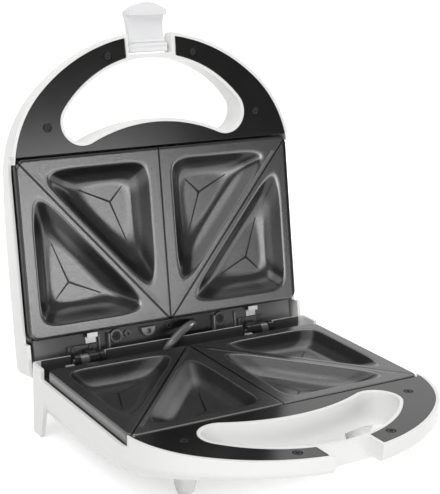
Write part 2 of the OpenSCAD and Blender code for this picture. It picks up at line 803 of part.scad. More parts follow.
// Edge under the base handle's opening that the latch hooks under
module catch_wall() {
    translate([0, 0, face_gap]) linear_extrude(catch_d - face_gap) difference() {
        translate([-notch_w / 2 - notch_border, opening_top - 5])
            square([notch_w + 2 * notch_border, notch_back - opening_top + 5]);
        polygon(opening_outline(0));
    }
}

// Legs that carry the sides and rear corners of the base down to the table
module rear_legs() {
    profile = concat(
        [[leg_l - base_back, case_depth - bottom_r - 6], [leg_l - base_back, case_depth - 11]],
        [[leg_l - base_back - 3.6, foot_d]],
        [for (k = [0 : 4])
            [leg_r - base_back - leg_r * sin(22.5 * k), foot_d - leg_r + leg_r * cos(22.5 * k)]],
        [[-base_back, case_depth - bottom_r - 6]]
    );
    intersection() {
        linear_extrude(foot_d) polygon(case_outline(0, base_back));
        both_sides(half_w - leg_t) translate([-leg_t, 0, 0]) rotate([90, 0, 90])
            linear_extrude(2 * leg_t) polygon(profile);
    }
}

module lid_casing() {
    color(white) on_lid() difference() {
        casing_shell(lid_back, lid_deck_d);
        rod_x(latch_pin_r + running_gap, latch_pin_l + 2, latch_pin_v, latch_pin_d);
        both_sides(lens_x) translate([0, lens_v, pan_floor])
            cylinder(r = lens_r + part_gap, h = case_depth, $fn = 40);
    }
}

module base_trim_panel() {
    color(black) on_base() trim_panel();
}
module lid_trim_panel() {
    color(black) on_lid() trim_panel();
}
module base_trim_screws() {
    color("#222222") on_base() trim_screws();
}
module lid_trim_screws() {
    color("#222222") on_lid() trim_screws();
}
module base_grill_plate() {
    color(nonstick) on_base() grill_plate();
}
module lid_grill_plate() {
    color(nonstick) on_lid() grill_plate();
}
module base_inner_frame() {
    color(frame_grey) on_base() {
        inner_frame(base_deck_d, base_back);
        rear_upstand();
    }
}

// Flange turned up from the base deck's rear edge, with a gap at each hinge
module rear_upstand() {
    low_v = wall + part_gap - base_back;
    hinge_room = window_w / 2 + part_gap;
    for (span = [
        [-deck_x, -hinge_x - hinge_room],
        [hinge_room - hinge_x, hinge_x - hinge_room],
        [hinge_x + hinge_room, deck_x]
    ]) box([span[0], low_v, upstand_top], [span[1], low_v + upstand_t, base_deck_d + frame_t]);
}
module lid_inner_frame() {
    color(frame_grey) on_lid() inner_frame(lid_deck_d, lid_back);
}
module base_frame_screws() {
    color("#3a3a3a") on_base() frame_screws(base_deck_d);
}
module lid_frame_screws() {
    color("#3a3a3a") on_lid() frame_screws(lid_deck_d);
}
module base_plate_screws() {
    color(steel) on_base() plate_screws();
}
module lid_plate_screws() {
    color(steel) on_lid() plate_screws();
}
module base_heating_element() {
    color(steel) on_base() heating_element();
}
module lid_heating_element() {
    color(steel) on_lid() heating_element();
}
module base_element_clamps() {
    color(steel) on_base() element_clamps();
}
module lid_element_clamps() {
    color(steel) on_lid() element_clamps();
}
module base_heat_shield() {
    color(steel) on_base() heat_shield();
}
module lid_heat_shield() {
    color(steel) on_lid() heat_shield();
}
module base_plate_clips() {
    color(steel) on_base() for (x = [-base_clip_left, base_clip_right])
        plate_clip(x, base_clip_w, base_deck_d);
}
module lid_plate_clips() {
    color(steel) on_lid() for (x = [-lid_clip_left, lid_clip_right])
        plate_clip(x, lid_clip_w, lid_deck_d);
}

// Base bracket with two ears either side of the lid's knuckle
module base_hinge_brackets() {
    ear_x = knuckle_w / 2 + hinge_side_gap;
    color(frame_grey) on_base() both_sides(hinge_x) difference() {
        union() {
            box(
                [-ear_x - ear_t, base_flange_v[0], base_deck_d - flange_t],
                [ear_x + ear_t, base_flange_v[1], base_deck_d]
            );
            for (side = [-1, 1]) {
                rod_at(side * (ear_x + ear_t / 2), knuckle_r, ear_t, 0, hinge_rise);
                box(
                    [side * (ear_x + ear_t / 2) - ear_t / 2, base_flange_v[0], hinge_rise],
                    [side * (ear_x + ear_t / 2) + ear_t / 2, knuckle_r + 2, base_deck_d]
                );
            }
        }
        rod_x(hinge_pin_r + running_gap, 2 * (ear_x + ear_t) + 2, 0, hinge_rise);
        for (side = [-1, 1]) translate([side * hinge_screw_x, hinge_screw_spots(base_deck_d)[0][1], 0])
            cylinder(r = hinge_shank_r + running_gap, h = case_depth, $fn = 32);
    }
}

// Lid bracket: knuckle on the hinge pin, arm and flange
module lid_hinge_brackets() {
    color(black) on_lid() both_sides(hinge_x) difference() {
        union() {
            rod_x(knuckle_r, knuckle_w, 0, -hinge_rise);
            box(
                [-knuckle_w / 2, -arm_t / 2, -hinge_rise],
                [knuckle_w / 2, arm_t / 2, lid_deck_d - flange_t / 2]
            );
            box(
                [-knuckle_w / 2 - hinge_side_gap - ear_t, lid_flange_v[0], lid_deck_d - flange_t],
                [knuckle_w / 2 + hinge_side_gap + ear_t, lid_flange_v[1], lid_deck_d]
            );
        }
        rod_x(hinge_pin_r + running_gap, knuckle_w + 2, 0, -hinge_rise);
        for (side = [-1, 1]) translate([side * hinge_screw_x, hinge_screw_spots(lid_deck_d)[0][1], -1])
            cylinder(r = hinge_shank_r + running_gap, h = case_depth, $fn = 32);
    }
}

// Rod along X with its middle at x
module rod_at(x, r, length, v, d) {
    translate([x, 0, 0]) rod_x(r, length, v, d);
}

module hinge_screws(deck_d) {
    for (s = hinge_screw_spots(deck_d)) both_sides(s[0])
        screw(
            0, s[1], deck_d - flange_t - hinge_head_t,
            hinge_head_r, hinge_head_t, hinge_shank_r, hinge_screw_l
        );
}
module base_hinge_screws() {
    color(steel) on_base() hinge_screws(base_deck_d);
}
module lid_hinge_screws() {
    color("#3a3a3a") on_lid() hinge_screws(lid_deck_d);
}

module hinge_pins() {
    color(steel) on_base() both_sides(hinge_x)
        rod_x(hinge_pin_r, knuckle_w + 2 * (hinge_side_gap + ear_t) + 1, 0, hinge_rise);
}

// Bimetal thermostat: body on the shield, sensing cap under the plate
module thermostat() {
    color("#d8d2c4") on_base() translate([half_plate / 2, plate_mid, 0]) {
        translate([0, 0, pocket_floor - 1])
            cylinder(r = thermostat_r, h = shield_d - pocket_floor + 1, $fn = 48);
        translate([0, 0, plate_under + part_gap])
            cylinder(r = cap_r, h = pocket_floor - plate_under, $fn = 32);
    }
}

// Thermal fuse in its sleeve, under the pan
module thermal_fuse() {
    color("#c9b27a") on_base() {
        rod_at(-44, fuse_r, 14, plate_mid, under_pan + fuse_r);
        rod_at(-44, 0.8, 26, plate_mid, under_pan + fuse_r);
    }
}

// Three-way terminal block, screwed up under the pan
module terminal_block() {
    color("#ece7da") on_base() difference() {
        box(
            [block_x, block_v, under_pan],
            [block_x + 3 * block_pitch, block_v + block_l, under_pan + block_h]
        );
        for (k = [0 : 2]) {
            translate([block_x_at(k), block_v - 1, block_d]) rotate([-90, 0, 0])
                cylinder(r = wire_hole_r, h = block_l + 2, $fn = 24);
            translate([block_x_at(k), block_v + block_l / 2, block_d])
                cylinder(r = 2, h = block_h, $fn = 24);
        }
    }
}

// Bush in the base's rear wall for the mains cord
module cord_inlet() {
    color(black) on_base() translate([inlet_x, -base_back, inlet_d]) rotate([-90, 0, 0]) difference() {
        union() {
            translate([0, 0, -bush_flange_t]) cylinder(r = bush_r + 1.6, h = bush_flange_t, $fn = 48);
            translate([0, 0, -bush_flange_t]) cylinder(r = bush_r, h = bush_flange_t + bush_l, $fn = 48);
        }
        translate([0, 0, -bush_flange_t - 1]) cylinder(r = inlet_r, h = bush_flange_t + bush_l + 2, $fn = 48);
    }
}

// Two lenses set in the lid's back, and the lamps under them
module indicator_lenses() {
    color("#c33a2c") on_lid() both_sides(lens_x) translate([0, lens_v, under_pan + lamp_h + part_gap])
        cylinder(r = lens_r, h = case_d(lens_v) + 1.2 - under_pan - lamp_h - part_gap, $fn = 40);
}
module indicator_lamps() {
    color("#e8e2d2") on_lid() both_sides(lens_x) translate([0, lens_v, under_pan])
        cylinder(r = lens_r - 1, h = lamp_h, $fn = 32);
}

// Smooth curve through points, with n steps between each two
function curve_point(a, b, c, d, t) =
    0.5 * (2 * b + (c - a) * t + (2 * a - 5 * b + 4 * c - d) * t * t + (3 * b - a - 3 * c + d) * t * t * t);
function curve(p, n) = let (last = len(p) - 1) concat(
    [for (i = [0 : last - 1], k = [0 : n - 1])
        curve_point(p[max(i - 1, 0)], p[i], p[i + 1], p[min(i + 2, last)], k / n)],
    [p[last]]
);

// Round tube along points; up is a direction that the tube never follows
module tube(points, r, sides, up) {
    last = len(points) - 1;
    rings = [for (i = [0 : last])
        let (
            step = points[min(i + 1, last)] - points[max(i - 1, 0)],
            along = step / norm(step),
            side = cross(along, up) / norm(cross(along, up)),
            top = cross(along, side)
        ) for (k = [0 : sides - 1])
            points[i] + r * (cos(360 * k / sides) * side + sin(360 * k / sides) * top)];
    walls = [for (i = [0 : last - 1], k = [0 : sides - 1])
        let (a = i * sides + k, b = i * sides + (k + 1) % sides)
        each [[a, a + sides, b + sides], [a, b + sides, b]]];
    first_end = [for (k = [1 : sides - 2]) [0, k, k + 1]];
    last_end = [for (k = [1 : sides - 2]) [last * sides, last * sides + k + 1, last * sides + k]];
    polyhedron(rings, concat(walls, first_end, last_end));
}

module base_wiring() {
    color("#b8503c") on_base() for (route = base_wires) tube(curve(route, 4), wire_r, 8, [0.2, 0.3, 1]);
}
module lid_wiring() {
    color("#b8503c") on_lid() for (route = lid_wires) tube(curve(route, 4), wire_r, 8, [1, -0.4, 0.1]);
}

// Sleeved cable that crosses from the base's deck to the lid's deck
module link_cable() {
    color("#c9c9c2") translate([0, hinge_y, hinge_z]) tube(curve(link_route, 4), link_r, 10, [0.2, 1, -0.6]);
}

module latch_pin() {
    color(steel) on_lid() rod_x(latch_pin_r, latch_pin_l, latch_pin_v, latch_pin_d);
}

// Outline of the latch seen from its face: slightly waisted sides and a domed end
function latch_outline() =
    let (
        half = latch_w / 2,
        dome_r = (half * half + dome_h * dome_h) / (2 * dome_h),
        dome_a = asin(half / dome_r)
    )
    concat(
        [for (k = [0 : 6]) [half - waist * sin(30 * k), latch_pin_v + (latch_end - latch_pin_v) * k / 6]],
        [for (k = [1 : 9]) let (a = dome_a * (1 - k / 5))
            [dome_r * sin(a), latch_end + dome_h - dome_r + dome_r * cos(a)]],
        [for (k = [6 : -1 : 0]) [waist * sin(30 * k) - half, latch_pin_v + (latch_end - latch_pin_v) * k / 6]]
    );
module latch() {
    color(white) on_lid() difference() {
        union() {
            rod_x(latch_barrel_r, latch_w, latch_pin_v, latch_pin_d);
            translate([0, 0, latch_d]) linear_extrude(latch_t) polygon(latch_outline());
            box(
                [waist - latch_w / 2, latch_pin_v + latch_reach, face_gap + hook_gap],
                [latch_w / 2 - waist, latch_pin_v + latch_reach + hook_t, latch_d + latch_t / 2]
            );
        }
        rod_x(latch_pin_r + running_gap, latch_w + 2, latch_pin_v, latch_pin_d);
    }
}

base_casing();
base_trim_panel();
base_trim_screws();
base_inner_frame();
base_grill_plate();
base_plate_screws();
base_frame_screws();
base_heating_element();
base_element_clamps();
base_heat_shield();
base_hinge_brackets();
base_hinge_screws();
base_plate_clips();
hinge_pins();
thermostat();
thermal_fuse();
terminal_block();
base_wiring();
cord_inlet();
lid_casing();
lid_trim_panel();
lid_trim_screws();
lid_inner_frame();
lid_grill_plate();
lid_plate_screws();
lid_frame_screws();
lid_heating_element();
lid_element_clamps();
lid_heat_shield();
lid_hinge_brackets();
lid_hinge_screws();
lid_plate_clips();
lid_wiring();
indicator_lenses();
indicator_lamps();
latch_pin();
link_cable();
latch();
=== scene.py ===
"""Looks of the open sandwich toaster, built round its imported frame.

Every half of the toaster is drawn in plan space, in millimetres: x across, v forward from the hinge axis and
d the depth behind the plate faces. A Half turns plan space into the row frame in metres.
"""

from __future__ import annotations

import json
import logging
import math
from dataclasses import dataclass, field
from enum import Enum
from typing import Iterable, Sequence

import bmesh
import bpy
import numpy as np
from mathutils import Matrix, Vector

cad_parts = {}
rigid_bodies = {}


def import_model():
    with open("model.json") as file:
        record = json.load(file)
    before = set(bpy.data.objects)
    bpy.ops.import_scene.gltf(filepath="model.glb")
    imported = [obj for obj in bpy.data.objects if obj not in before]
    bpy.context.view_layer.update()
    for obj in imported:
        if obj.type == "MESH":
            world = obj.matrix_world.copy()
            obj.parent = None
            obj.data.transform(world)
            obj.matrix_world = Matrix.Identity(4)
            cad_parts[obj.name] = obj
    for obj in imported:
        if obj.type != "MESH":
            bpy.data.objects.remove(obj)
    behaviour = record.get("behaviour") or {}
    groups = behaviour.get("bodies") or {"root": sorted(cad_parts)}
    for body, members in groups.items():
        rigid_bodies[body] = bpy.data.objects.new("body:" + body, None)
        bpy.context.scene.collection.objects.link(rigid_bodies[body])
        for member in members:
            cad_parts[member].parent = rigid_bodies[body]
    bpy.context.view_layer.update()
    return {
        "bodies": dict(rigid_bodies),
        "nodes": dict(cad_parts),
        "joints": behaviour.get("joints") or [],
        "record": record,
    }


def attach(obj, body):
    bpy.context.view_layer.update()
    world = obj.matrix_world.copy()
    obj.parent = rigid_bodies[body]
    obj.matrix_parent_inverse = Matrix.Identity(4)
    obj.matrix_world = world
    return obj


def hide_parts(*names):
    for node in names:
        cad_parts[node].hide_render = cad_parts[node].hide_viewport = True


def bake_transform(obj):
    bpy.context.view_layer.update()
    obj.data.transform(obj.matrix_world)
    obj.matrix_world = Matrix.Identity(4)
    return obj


LOG = logging.getLogger("sandwich_toaster")
MM = 0.001
BUMP_REACH = 0.0004
Array = np.ndarray
Colour = tuple[float, float, float]
Place = tuple[float, float, float]
Solid = bpy.types.Object
Material = bpy.types.Material
Node = bpy.types.Node
Socket = bpy.types.NodeSocket
Tree = bpy.types.NodeTree


@dataclass(frozen=True)
class Sizes:
    """Sizes that the pieces share, in millimetres and degrees, the same as the part's own."""

    lid_open: float = 100.0
    hinge_rise: float = 5.1
    hinge_x: float = 71.0
    hinge_pin_r: float = 2.05
    plate_w: float = 222.0
    plate_l: float = 127.5
    plate_setback: float = 17.4
    plate_corner_r: float = 7.0
    skirt_h: float = 9.7
    land_w: float = 9.5
    diagonal_w: float = 8.6
    pocket_d: float = 11.0
    pocket_slope: float = 10.0
    side_margin: float = 3.0
    handle_l: float = 83.1
    case_depth: float = 40.0
    handle_depth: float = 12.0
    handle_run: float = 158.0
    wall: float = 2.5
    nose_extra: float = 12.8
    shoulder_x: float = 31.0
    rear_corner_r: float = 6.0
    bottom_r: float = 20.0
    lip_r: float = 4.0
    side_slot_d: float = 8.0
    lid_back: float = 9.0
    foot_h: float = 11.0
    face_gap: float = 0.3
    part_gap: float = 0.3
    handle_bar_w: float = 18.5
    opening_room: float = 21.9
    opening_end_r: float = 14.0
    opening_side: float = 55.7
    opening_back_r: float = 125.5
    notch_w: float = 35.0
    notch_border: float = 2.0
    trim_t: float = 2.5

    @property
    def half_w(self) -> float:
        """Half the casing's width."""
        return self.plate_w / 2 + self.side_margin

    @property
    def plate_front(self) -> float:
        """Front edge of the plates."""
        return self.plate_setback + self.plate_l

    @property
    def case_front(self) -> float:
        """Front of the handle."""
        return self.plate_front + self.handle_l

    @property
    def base_back(self) -> float:
        """How far the base's rear wall stands behind the hinge axis."""
        a = math.radians(self.lid_open)
        reach = (self.hinge_rise + self.face_gap) * math.sin(a) + self.lid_back * math.cos(a)
        return reach - 2 * self.part_gap

    @property
    def nose_v(self) -> float:
        """Centre of the nose curve."""
        return self.case_front - self.nose_r

    @property
    def nose_r(self) -> float:
        """Radius across the front of the handle."""
        return self.half_w + self.nose_extra

    @property
    def shoulder_r(self) -> float:
        """Radius of the shoulder curves."""
        return self.half_w - self.shoulder_x

    @property
    def shoulder_v(self) -> float:
        """Centre of a shoulder curve, forward."""
        return self.nose_v + math.sqrt((self.nose_r - self.shoulder_r) ** 2 - self.shoulder_x**2)

    @property
    def opening_top(self) -> float:
        """Front edge of the finger opening at the middle."""
        return self.case_front - self.handle_bar_w

    @property
    def opening_end_x(self) -> float:
        """Centre of the opening's round ends, across."""
        return self.half_w - self.opening_side

    @property
    def opening_end_v(self) -> float:
        """Centre of the opening's round ends, forward."""
        return self.plate_front + self.opening_room

    @property
    def opening_front_r(self) -> float:
        """Radius of the opening's front curve, which touches both round ends."""
        drop, x, r = self.opening_top - self.opening_end_v, self.opening_end_x, self.opening_end_r
        return (x * x + drop * drop - r * r) / (2 * (drop - r))

    @property
    def notch_back(self) -> float:
        """Rear face of the latch notch."""
        return self.opening_top + self.wall + self.part_gap

    @property
    def trim_back(self) -> float:
        """Rear edge of the trim panels."""
        return self.plate_front + 1.3


S = Sizes()


class Half(Enum):
    """The two halves of the toaster, each with its own way from plan space to the row frame."""

    BASE = "base"
    LID = "lid"

    @property
    def rear(self) -> float:
        """How far this half's rear wall stands behind the hinge axis, in millimetres."""
        return S.base_back if self is Half.BASE else S.lid_back

    def matrix(self, hinge: Vector) -> Matrix:
        """Plan space in millimetres to the row frame in metres.

        Args:
            hinge: The hinge axis in the row frame, in metres.

        Returns:
            The whole transform as a 4 by 4 matrix.
        """
        rise = S.hinge_rise
        if self is Half.BASE:
            local = Matrix(((1, 0, 0, 0), (0, -1, 0, 0), (0, 0, -1, rise), (0, 0, 0, 1)))
        else:
            swing = Matrix.Rotation(math.radians(-S.lid_open), 4, "X")
            local = swing @ Matrix(((1, 0, 0, 0), (0, -1, 0, 0), (0, 0, 1, rise), (0, 0, 0, 1)))
        return Matrix.Translation(hinge) @ Matrix.Scale(MM, 4) @ local


def smooth_rise(t: Array) -> Array:
    """Smooth rise from 0 to 1: 3 t squared less 2 t cubed, held at its ends."""
    c = np.clip(t, 0.0, 1.0)
    return c * c * (3 - 2 * c)


def case_d(v: Array) -> Array:
    """Depth of a casing at the distance v from the hinge axis."""
    return S.handle_depth + (S.case_depth - S.handle_depth) * smooth_rise((S.case_front - v) / S.handle_run)


def edge_r(v: Array) -> Array:
    """Radius of a casing's edge rounding at the distance v."""
    return S.lip_r + (S.bottom_r - S.lip_r) * smooth_rise((S.case_front - v) / S.handle_run)


def on_arc(x: float, v: float, r: Array, a: Array) -> Array:
    """Points at angle a, clockwise from straight ahead, on a circle of radius r about x, v."""
    return np.stack([x + r * np.sin(a), v + r * np.cos(a)], axis=-1)


@dataclass(frozen=True)
class CasingOutline:
    """The plan outline shared by the casings and the trim panels, in steps per stretch."""

    nose_n: int = 40
    shoulder_n: int = 30
    side_n: int = 30
    corner_n: int = 8

    @property
    def count(self) -> int:
        """Number of steps along the right half."""
        return self.nose_n + self.shoulder_n + self.side_n + self.corner_n

    def right(self, inset: Array | float, back: float) -> Array:
        """Right half of the outline, from the nose round to the rear wall.

        Args:
            inset: How far each point is drawn in, one value or one for each point.
            back: How far the rear wall stands behind the hinge axis.

        Returns:
            Points x, v as an array of count + 1 rows: nose arc, shoulder arc, straight side, corner arc.
        """
        e = np.broadcast_to(np.asarray(inset, float), (self.count + 1,))
        k = np.arange(self.count + 1, dtype=float)
        blend = math.atan2(S.shoulder_x, S.shoulder_v - S.nose_v)
        r = np.maximum(S.rear_corner_r - e, 0.2)
        side_end = e - back + r
        counts = np.array([self.nose_n, self.shoulder_n, self.side_n, self.corner_n])
        starts = np.cumsum(counts) - counts
        t_nose, t_shoulder, t_side, t_corner = np.clip((k - starts[:, None]) / counts[:, None], 0, 1)
        out = on_arc(0, S.nose_v, S.nose_r - e, blend * t_nose)
        shoulder_a = blend + (math.pi / 2 - blend) * t_shoulder
        shoulder = on_arc(S.shoulder_x, S.shoulder_v, S.shoulder_r - e, shoulder_a)
        side = np.stack([S.half_w - e, S.shoulder_v + (side_end - S.shoulder_v) * t_side], axis=-1)
        corner_a = math.pi / 2 * (1 + t_corner)
        corner = np.stack([S.half_w - e - r + r * np.sin(corner_a), side_end + r * np.cos(corner_a)], axis=-1)
        for begins, stretch in zip(starts[1:], (shoulder, side, corner)):
            out = np.where((k > begins)[:, None], stretch, out)
        return out

    def whole(self, inset: float, back: float) -> Array:
        """The closed outline, right half and its mirror image, clockwise seen from the plate side."""
        right = self.right(inset, back)
        return np.concatenate([right, right[:0:-1] * (-1, 1)])


def opening_outline(grow: float) -> Array:
    """Outline of the finger opening: front arc, two round ends and the inward arc on the plate side.

    Args:
        grow: How far the outline stands outside the opening itself.

    Returns:
        Closed outline as rows of x, v.
    """
    end_rise = S.opening_end_v - (S.opening_top - S.opening_front_r)
    back_rise = math.sqrt((S.opening_back_r + S.opening_end_r) ** 2 - S.opening_end_x**2)
    back_v = S.opening_end_v - back_rise
    a1 = math.atan2(S.opening_end_x, end_rise)
    a2 = math.atan2(S.opening_end_x, back_rise)
    front = on_arc(0, S.opening_top - S.opening_front_r, S.opening_front_r + grow, np.linspace(0, a1, 30))
    end_a = np.linspace(a1, math.pi + a2, 34)[1:]
    end = on_arc(S.opening_end_x, S.opening_end_v, S.opening_end_r + grow, end_a)
    rear = on_arc(0, back_v, S.opening_back_r - grow, np.linspace(a2, 0, 22)[1:])
    right = np.concatenate([front, end, rear])
    return np.concatenate([right, right[-2:0:-1] * (-1, 1)])


def new_object(name: str, data: bpy.types.ID) -> Solid:
    """Links a new object that holds a mesh, a lamp or a camera and returns it."""
    obj = bpy.data.objects.new(name, data)
    bpy.context.scene.collection.objects.link(obj)
    return obj


def mesh_object(name: str, points: Array, faces: Iterable[Sequence[int]], close: bool = True) -> Solid:
    """Makes an object from points and faces.

    Args:
        name: Name of the object.
        points: Rows of x, y, z.
        faces: Corner indices of each face.
        close: Whether to merge doubles and turn the normals outwards.

    Returns:
        The new object.
    """
    mesh = bpy.data.meshes.new(name)
    mesh.from_pydata(np.asarray(points, float).tolist(), [], [list(map(int, f)) for f in faces])
    if close:
        work = bmesh.new()
        work.from_mesh(mesh)
        bmesh.ops.remove_doubles(work, verts=work.verts, dist=1e-5)
        bmesh.ops.recalc_face_normals(work, faces=work.faces)
        work.to_mesh(mesh)
        work.free()
    mesh.update()
    return new_object(name, mesh)


def grid_faces(rows: int, columns: int, wrap: bool) -> Array:
    """Four-cornered faces of a grid of points, row by row; wrap joins the last column to the first."""
    j = np.arange(rows - 1)[:, None] * columns
    i = np.arange(columns if wrap else columns - 1)[None, :]
    n = (i + 1) % columns
    return np.stack([j + i, j + n, j + columns + n, j + columns + i], axis=-1).reshape(-1, 4)


def loft(name: str, rings: Sequence[Array]) -> Solid:
    """Closed solid through rings of equally many points, with a cap on the first and on the last ring."""
    n, last = len(rings[0]), (len(rings) - 1) * len(rings[0])
    faces = grid_faces(len(rings), n, True).tolist() + [list(range(n)), list(range(last, last + n))]
    return mesh_object(name, np.concatenate(rings), faces)


def prism(name: str, outline: Array, low: float, high: float) -> Solid:
    """Closed solid with an outline of x and v, between two depths."""
    return loft(name, [np.column_stack([outline, np.full(len(outline), d)]) for d in (low, high)])


def side_prism(name: str, side: Array, low: float, high: float) -> Solid:
    """Closed solid with an outline of v and d, from x low to x high."""
    return loft(name, [np.column_stack([np.full(len(side), x), side]) for x in (low, high)])


def block(name: str, low: Sequence[float], high: Sequence[float]) -> Solid:
    """Rectangular block between two corners."""
    (x0, v0, d0), (x1, v1, d1) = low, high
    return prism(name, np.array([[x0, v0], [x1, v0], [x1, v1], [x0, v1]], float), d0, d1)


def unit_circle(sides: int) -> tuple[Array, Array]:
    """Cosines and sines of equal steps round a circle."""
    a = np.linspace(0, 2 * math.pi, sides, endpoint=False)
    return np.cos(a), np.sin(a)


def turned(name: str, profile: Iterable[tuple[float, float]], x: float, v: float, sides: int = 40) -> Solid:
    """Solid turned about a line along the depth: each profile point r, d is carried round a circle."""
    c, s = unit_circle(sides)
    return loft(name, [np.column_stack([x + r * c, v + r * s, np.full(sides, d)]) for r, d in profile])


def rod_x(name: str, r: float, length: float, x: float, v: float, d: float, sides: int = 40) -> Solid:
    """Round rod along x with its middle at x, v, d."""
    c, s = unit_circle(sides)
    return side_prism(name, np.column_stack([v + r * c, d + r * s]), x - length / 2, x + length / 2)


def rod_v(name: str, r: float, length: float, x: float, v: float, d: float, sides: int = 40) -> Solid:
    """Round rod along v with its middle at x, v, d."""
    c, s = unit_circle(sides)
    ends = (v - length / 2, v + length / 2)
    return loft(name, [np.column_stack([x + r * c, np.full(sides, end), d + r * s]) for end in ends])


def handle_openings(
    grow: float, half_w: float, back: float, low: float, high: float, beyond: float = 2.0
) -> list[Solid]:
    """Finger opening and latch notch as two solids between two depths.

    Args:
        grow: How far the opening's outline stands outside the opening itself.
        half_w: Half the notch's width.
        back: Rear face of the notch.
        low: Their lesser depth.
        high: Their greater depth.
        beyond: How far the notch's solid stands out in front of the handle.

    Returns:
        The two solids.
    """
    return [
        prism("opening", opening_outline(grow), low, high),
        block("notch", (-half_w, back, low), (half_w, S.case_front + beyond, high)),
    ]


def evaluated(obj: Solid) -> Solid:
    """Applies an object's modifiers to its mesh and returns it."""
    graph = bpy.context.evaluated_depsgraph_get()
    mesh = bpy.data.meshes.new_from_object(obj.evaluated_get(graph))
    obj.modifiers.clear()
    obj.data = mesh
    return obj


def combine(target: Solid, tools: Iterable[Solid], operation: str) -> Solid:
    """Cuts, joins or crosses the target with each tool in turn and removes the tools.

    Args:
        target: The solid that is worked on.
        tools: Solids used up by the work.
        operation: DIFFERENCE, UNION or INTERSECT.

    Returns:
        The target.
    """
    for tool in tools:
        step = target.modifiers.new("step", "BOOLEAN")
        step.object = tool
        step.operation = operation
        step.solver = "MANIFOLD"
        evaluated(target)
        bpy.data.objects.remove(tool, do_unlink=True)
    return target


def soften(obj: Solid, width: float, angle: float = 38.0, segments: int = 2, least: float = 0.05) -> Solid:
    """Cleans flat stretches of a cut solid and rounds its sharp edges.

    Args:
        obj: The solid, in millimetres.
        width: Radius of the rounding.
        angle: Edges sharper than this many degrees are rounded.
        segments: Steps across the rounding.
        least: Edges shorter than this are closed up first, since the shortest one limits the rounding.

    Returns:
        The same object.
    """
    work = bmesh.new()
    work.from_mesh(obj.data)
    bmesh.ops.remove_doubles(work, verts=work.verts, dist=1e-3)
    bmesh.ops.dissolve_limit(work, angle_limit=math.radians(0.6), verts=work.verts, edges=work.edges)
    bmesh.ops.dissolve_degenerate(work, dist=least, edges=work.edges)
    work.to_mesh(obj.data)
    work.free()
    edge = obj.modifiers.new("edges", "BEVEL")
    edge.width = width
    edge.segments = segments
    edge.limit_method = "ANGLE"
    edge.angle_limit = math.radians(angle)
    edge.miter_outer = "MITER_ARC"
    edge.use_clamp_overlap = True
    return evaluated(obj)


def dress(mesh: bpy.types.Mesh, material: Material, smooth_angle: float) -> None:
    """Gives a mesh its material and smooth shading that stops at edges sharper than an angle in degrees."""
    mesh.materials.clear()
    mesh.materials.append(material)
    mesh.polygons.foreach_set("use_smooth", np.ones(len(mesh.polygons), bool))
    mesh.set_sharp_from_angle(angle=math.radians(smooth_angle))


class Workshop:
    """Puts finished pieces into the row frame, dresses them and ties them to their bodies."""

    def __init__(self, frame: dict) -> None:
        """Finds the hinge axis in the frame.
        """
        joint = next(j for j in frame["joints"] if j["name"] == "lid_hinge")
        self.hinge = Vector((0.0, joint["pos_m"][1], joint["pos_m"][2]))
        self.matrices = {half: half.matrix(self.hinge) for half in Half}

    def place(
        self,
        obj: Solid,
        half: Half,
        material: Material,
        slot: str,
        replaces: Sequence[str] = (),
        body: str = "",
        smooth_angle: float = 32.0,
        weighted: bool = True,
    ) -> Solid:
        """Turns a plan-space piece into a finished one, dresses it and ties it to its body.

        Args:
            obj: The piece, in plan space and millimetres.
            half: The half whose plan space it was drawn in.
            material: Its material.
            slot: The record's material slot; not used.
            replaces: Nodes that it stands for.
            body: The body that it rides on, or the half's own.
            smooth_angle: Edges flatter than this are shaded smooth.
            weighted: Whether large faces set the shading at their edges.

        Returns:
            The same object.
        """
        matrix, mesh = self.matrices[half], obj.data
        mesh.transform(matrix)
        if matrix.determinant() < 0:
            mesh.flip_normals()
        dress(mesh, material, smooth_angle)
        mesh.update()
        if weighted:
            shading = obj.modifiers.new("shading", "WEIGHTED_NORMAL")
            shading.keep_sharp = True
        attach(obj, body or half.value)
        if replaces:
            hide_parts(*replaces)
        LOG.info("%s: %d faces on %s", obj.name, len(mesh.polygons), body or half.value)
        return obj


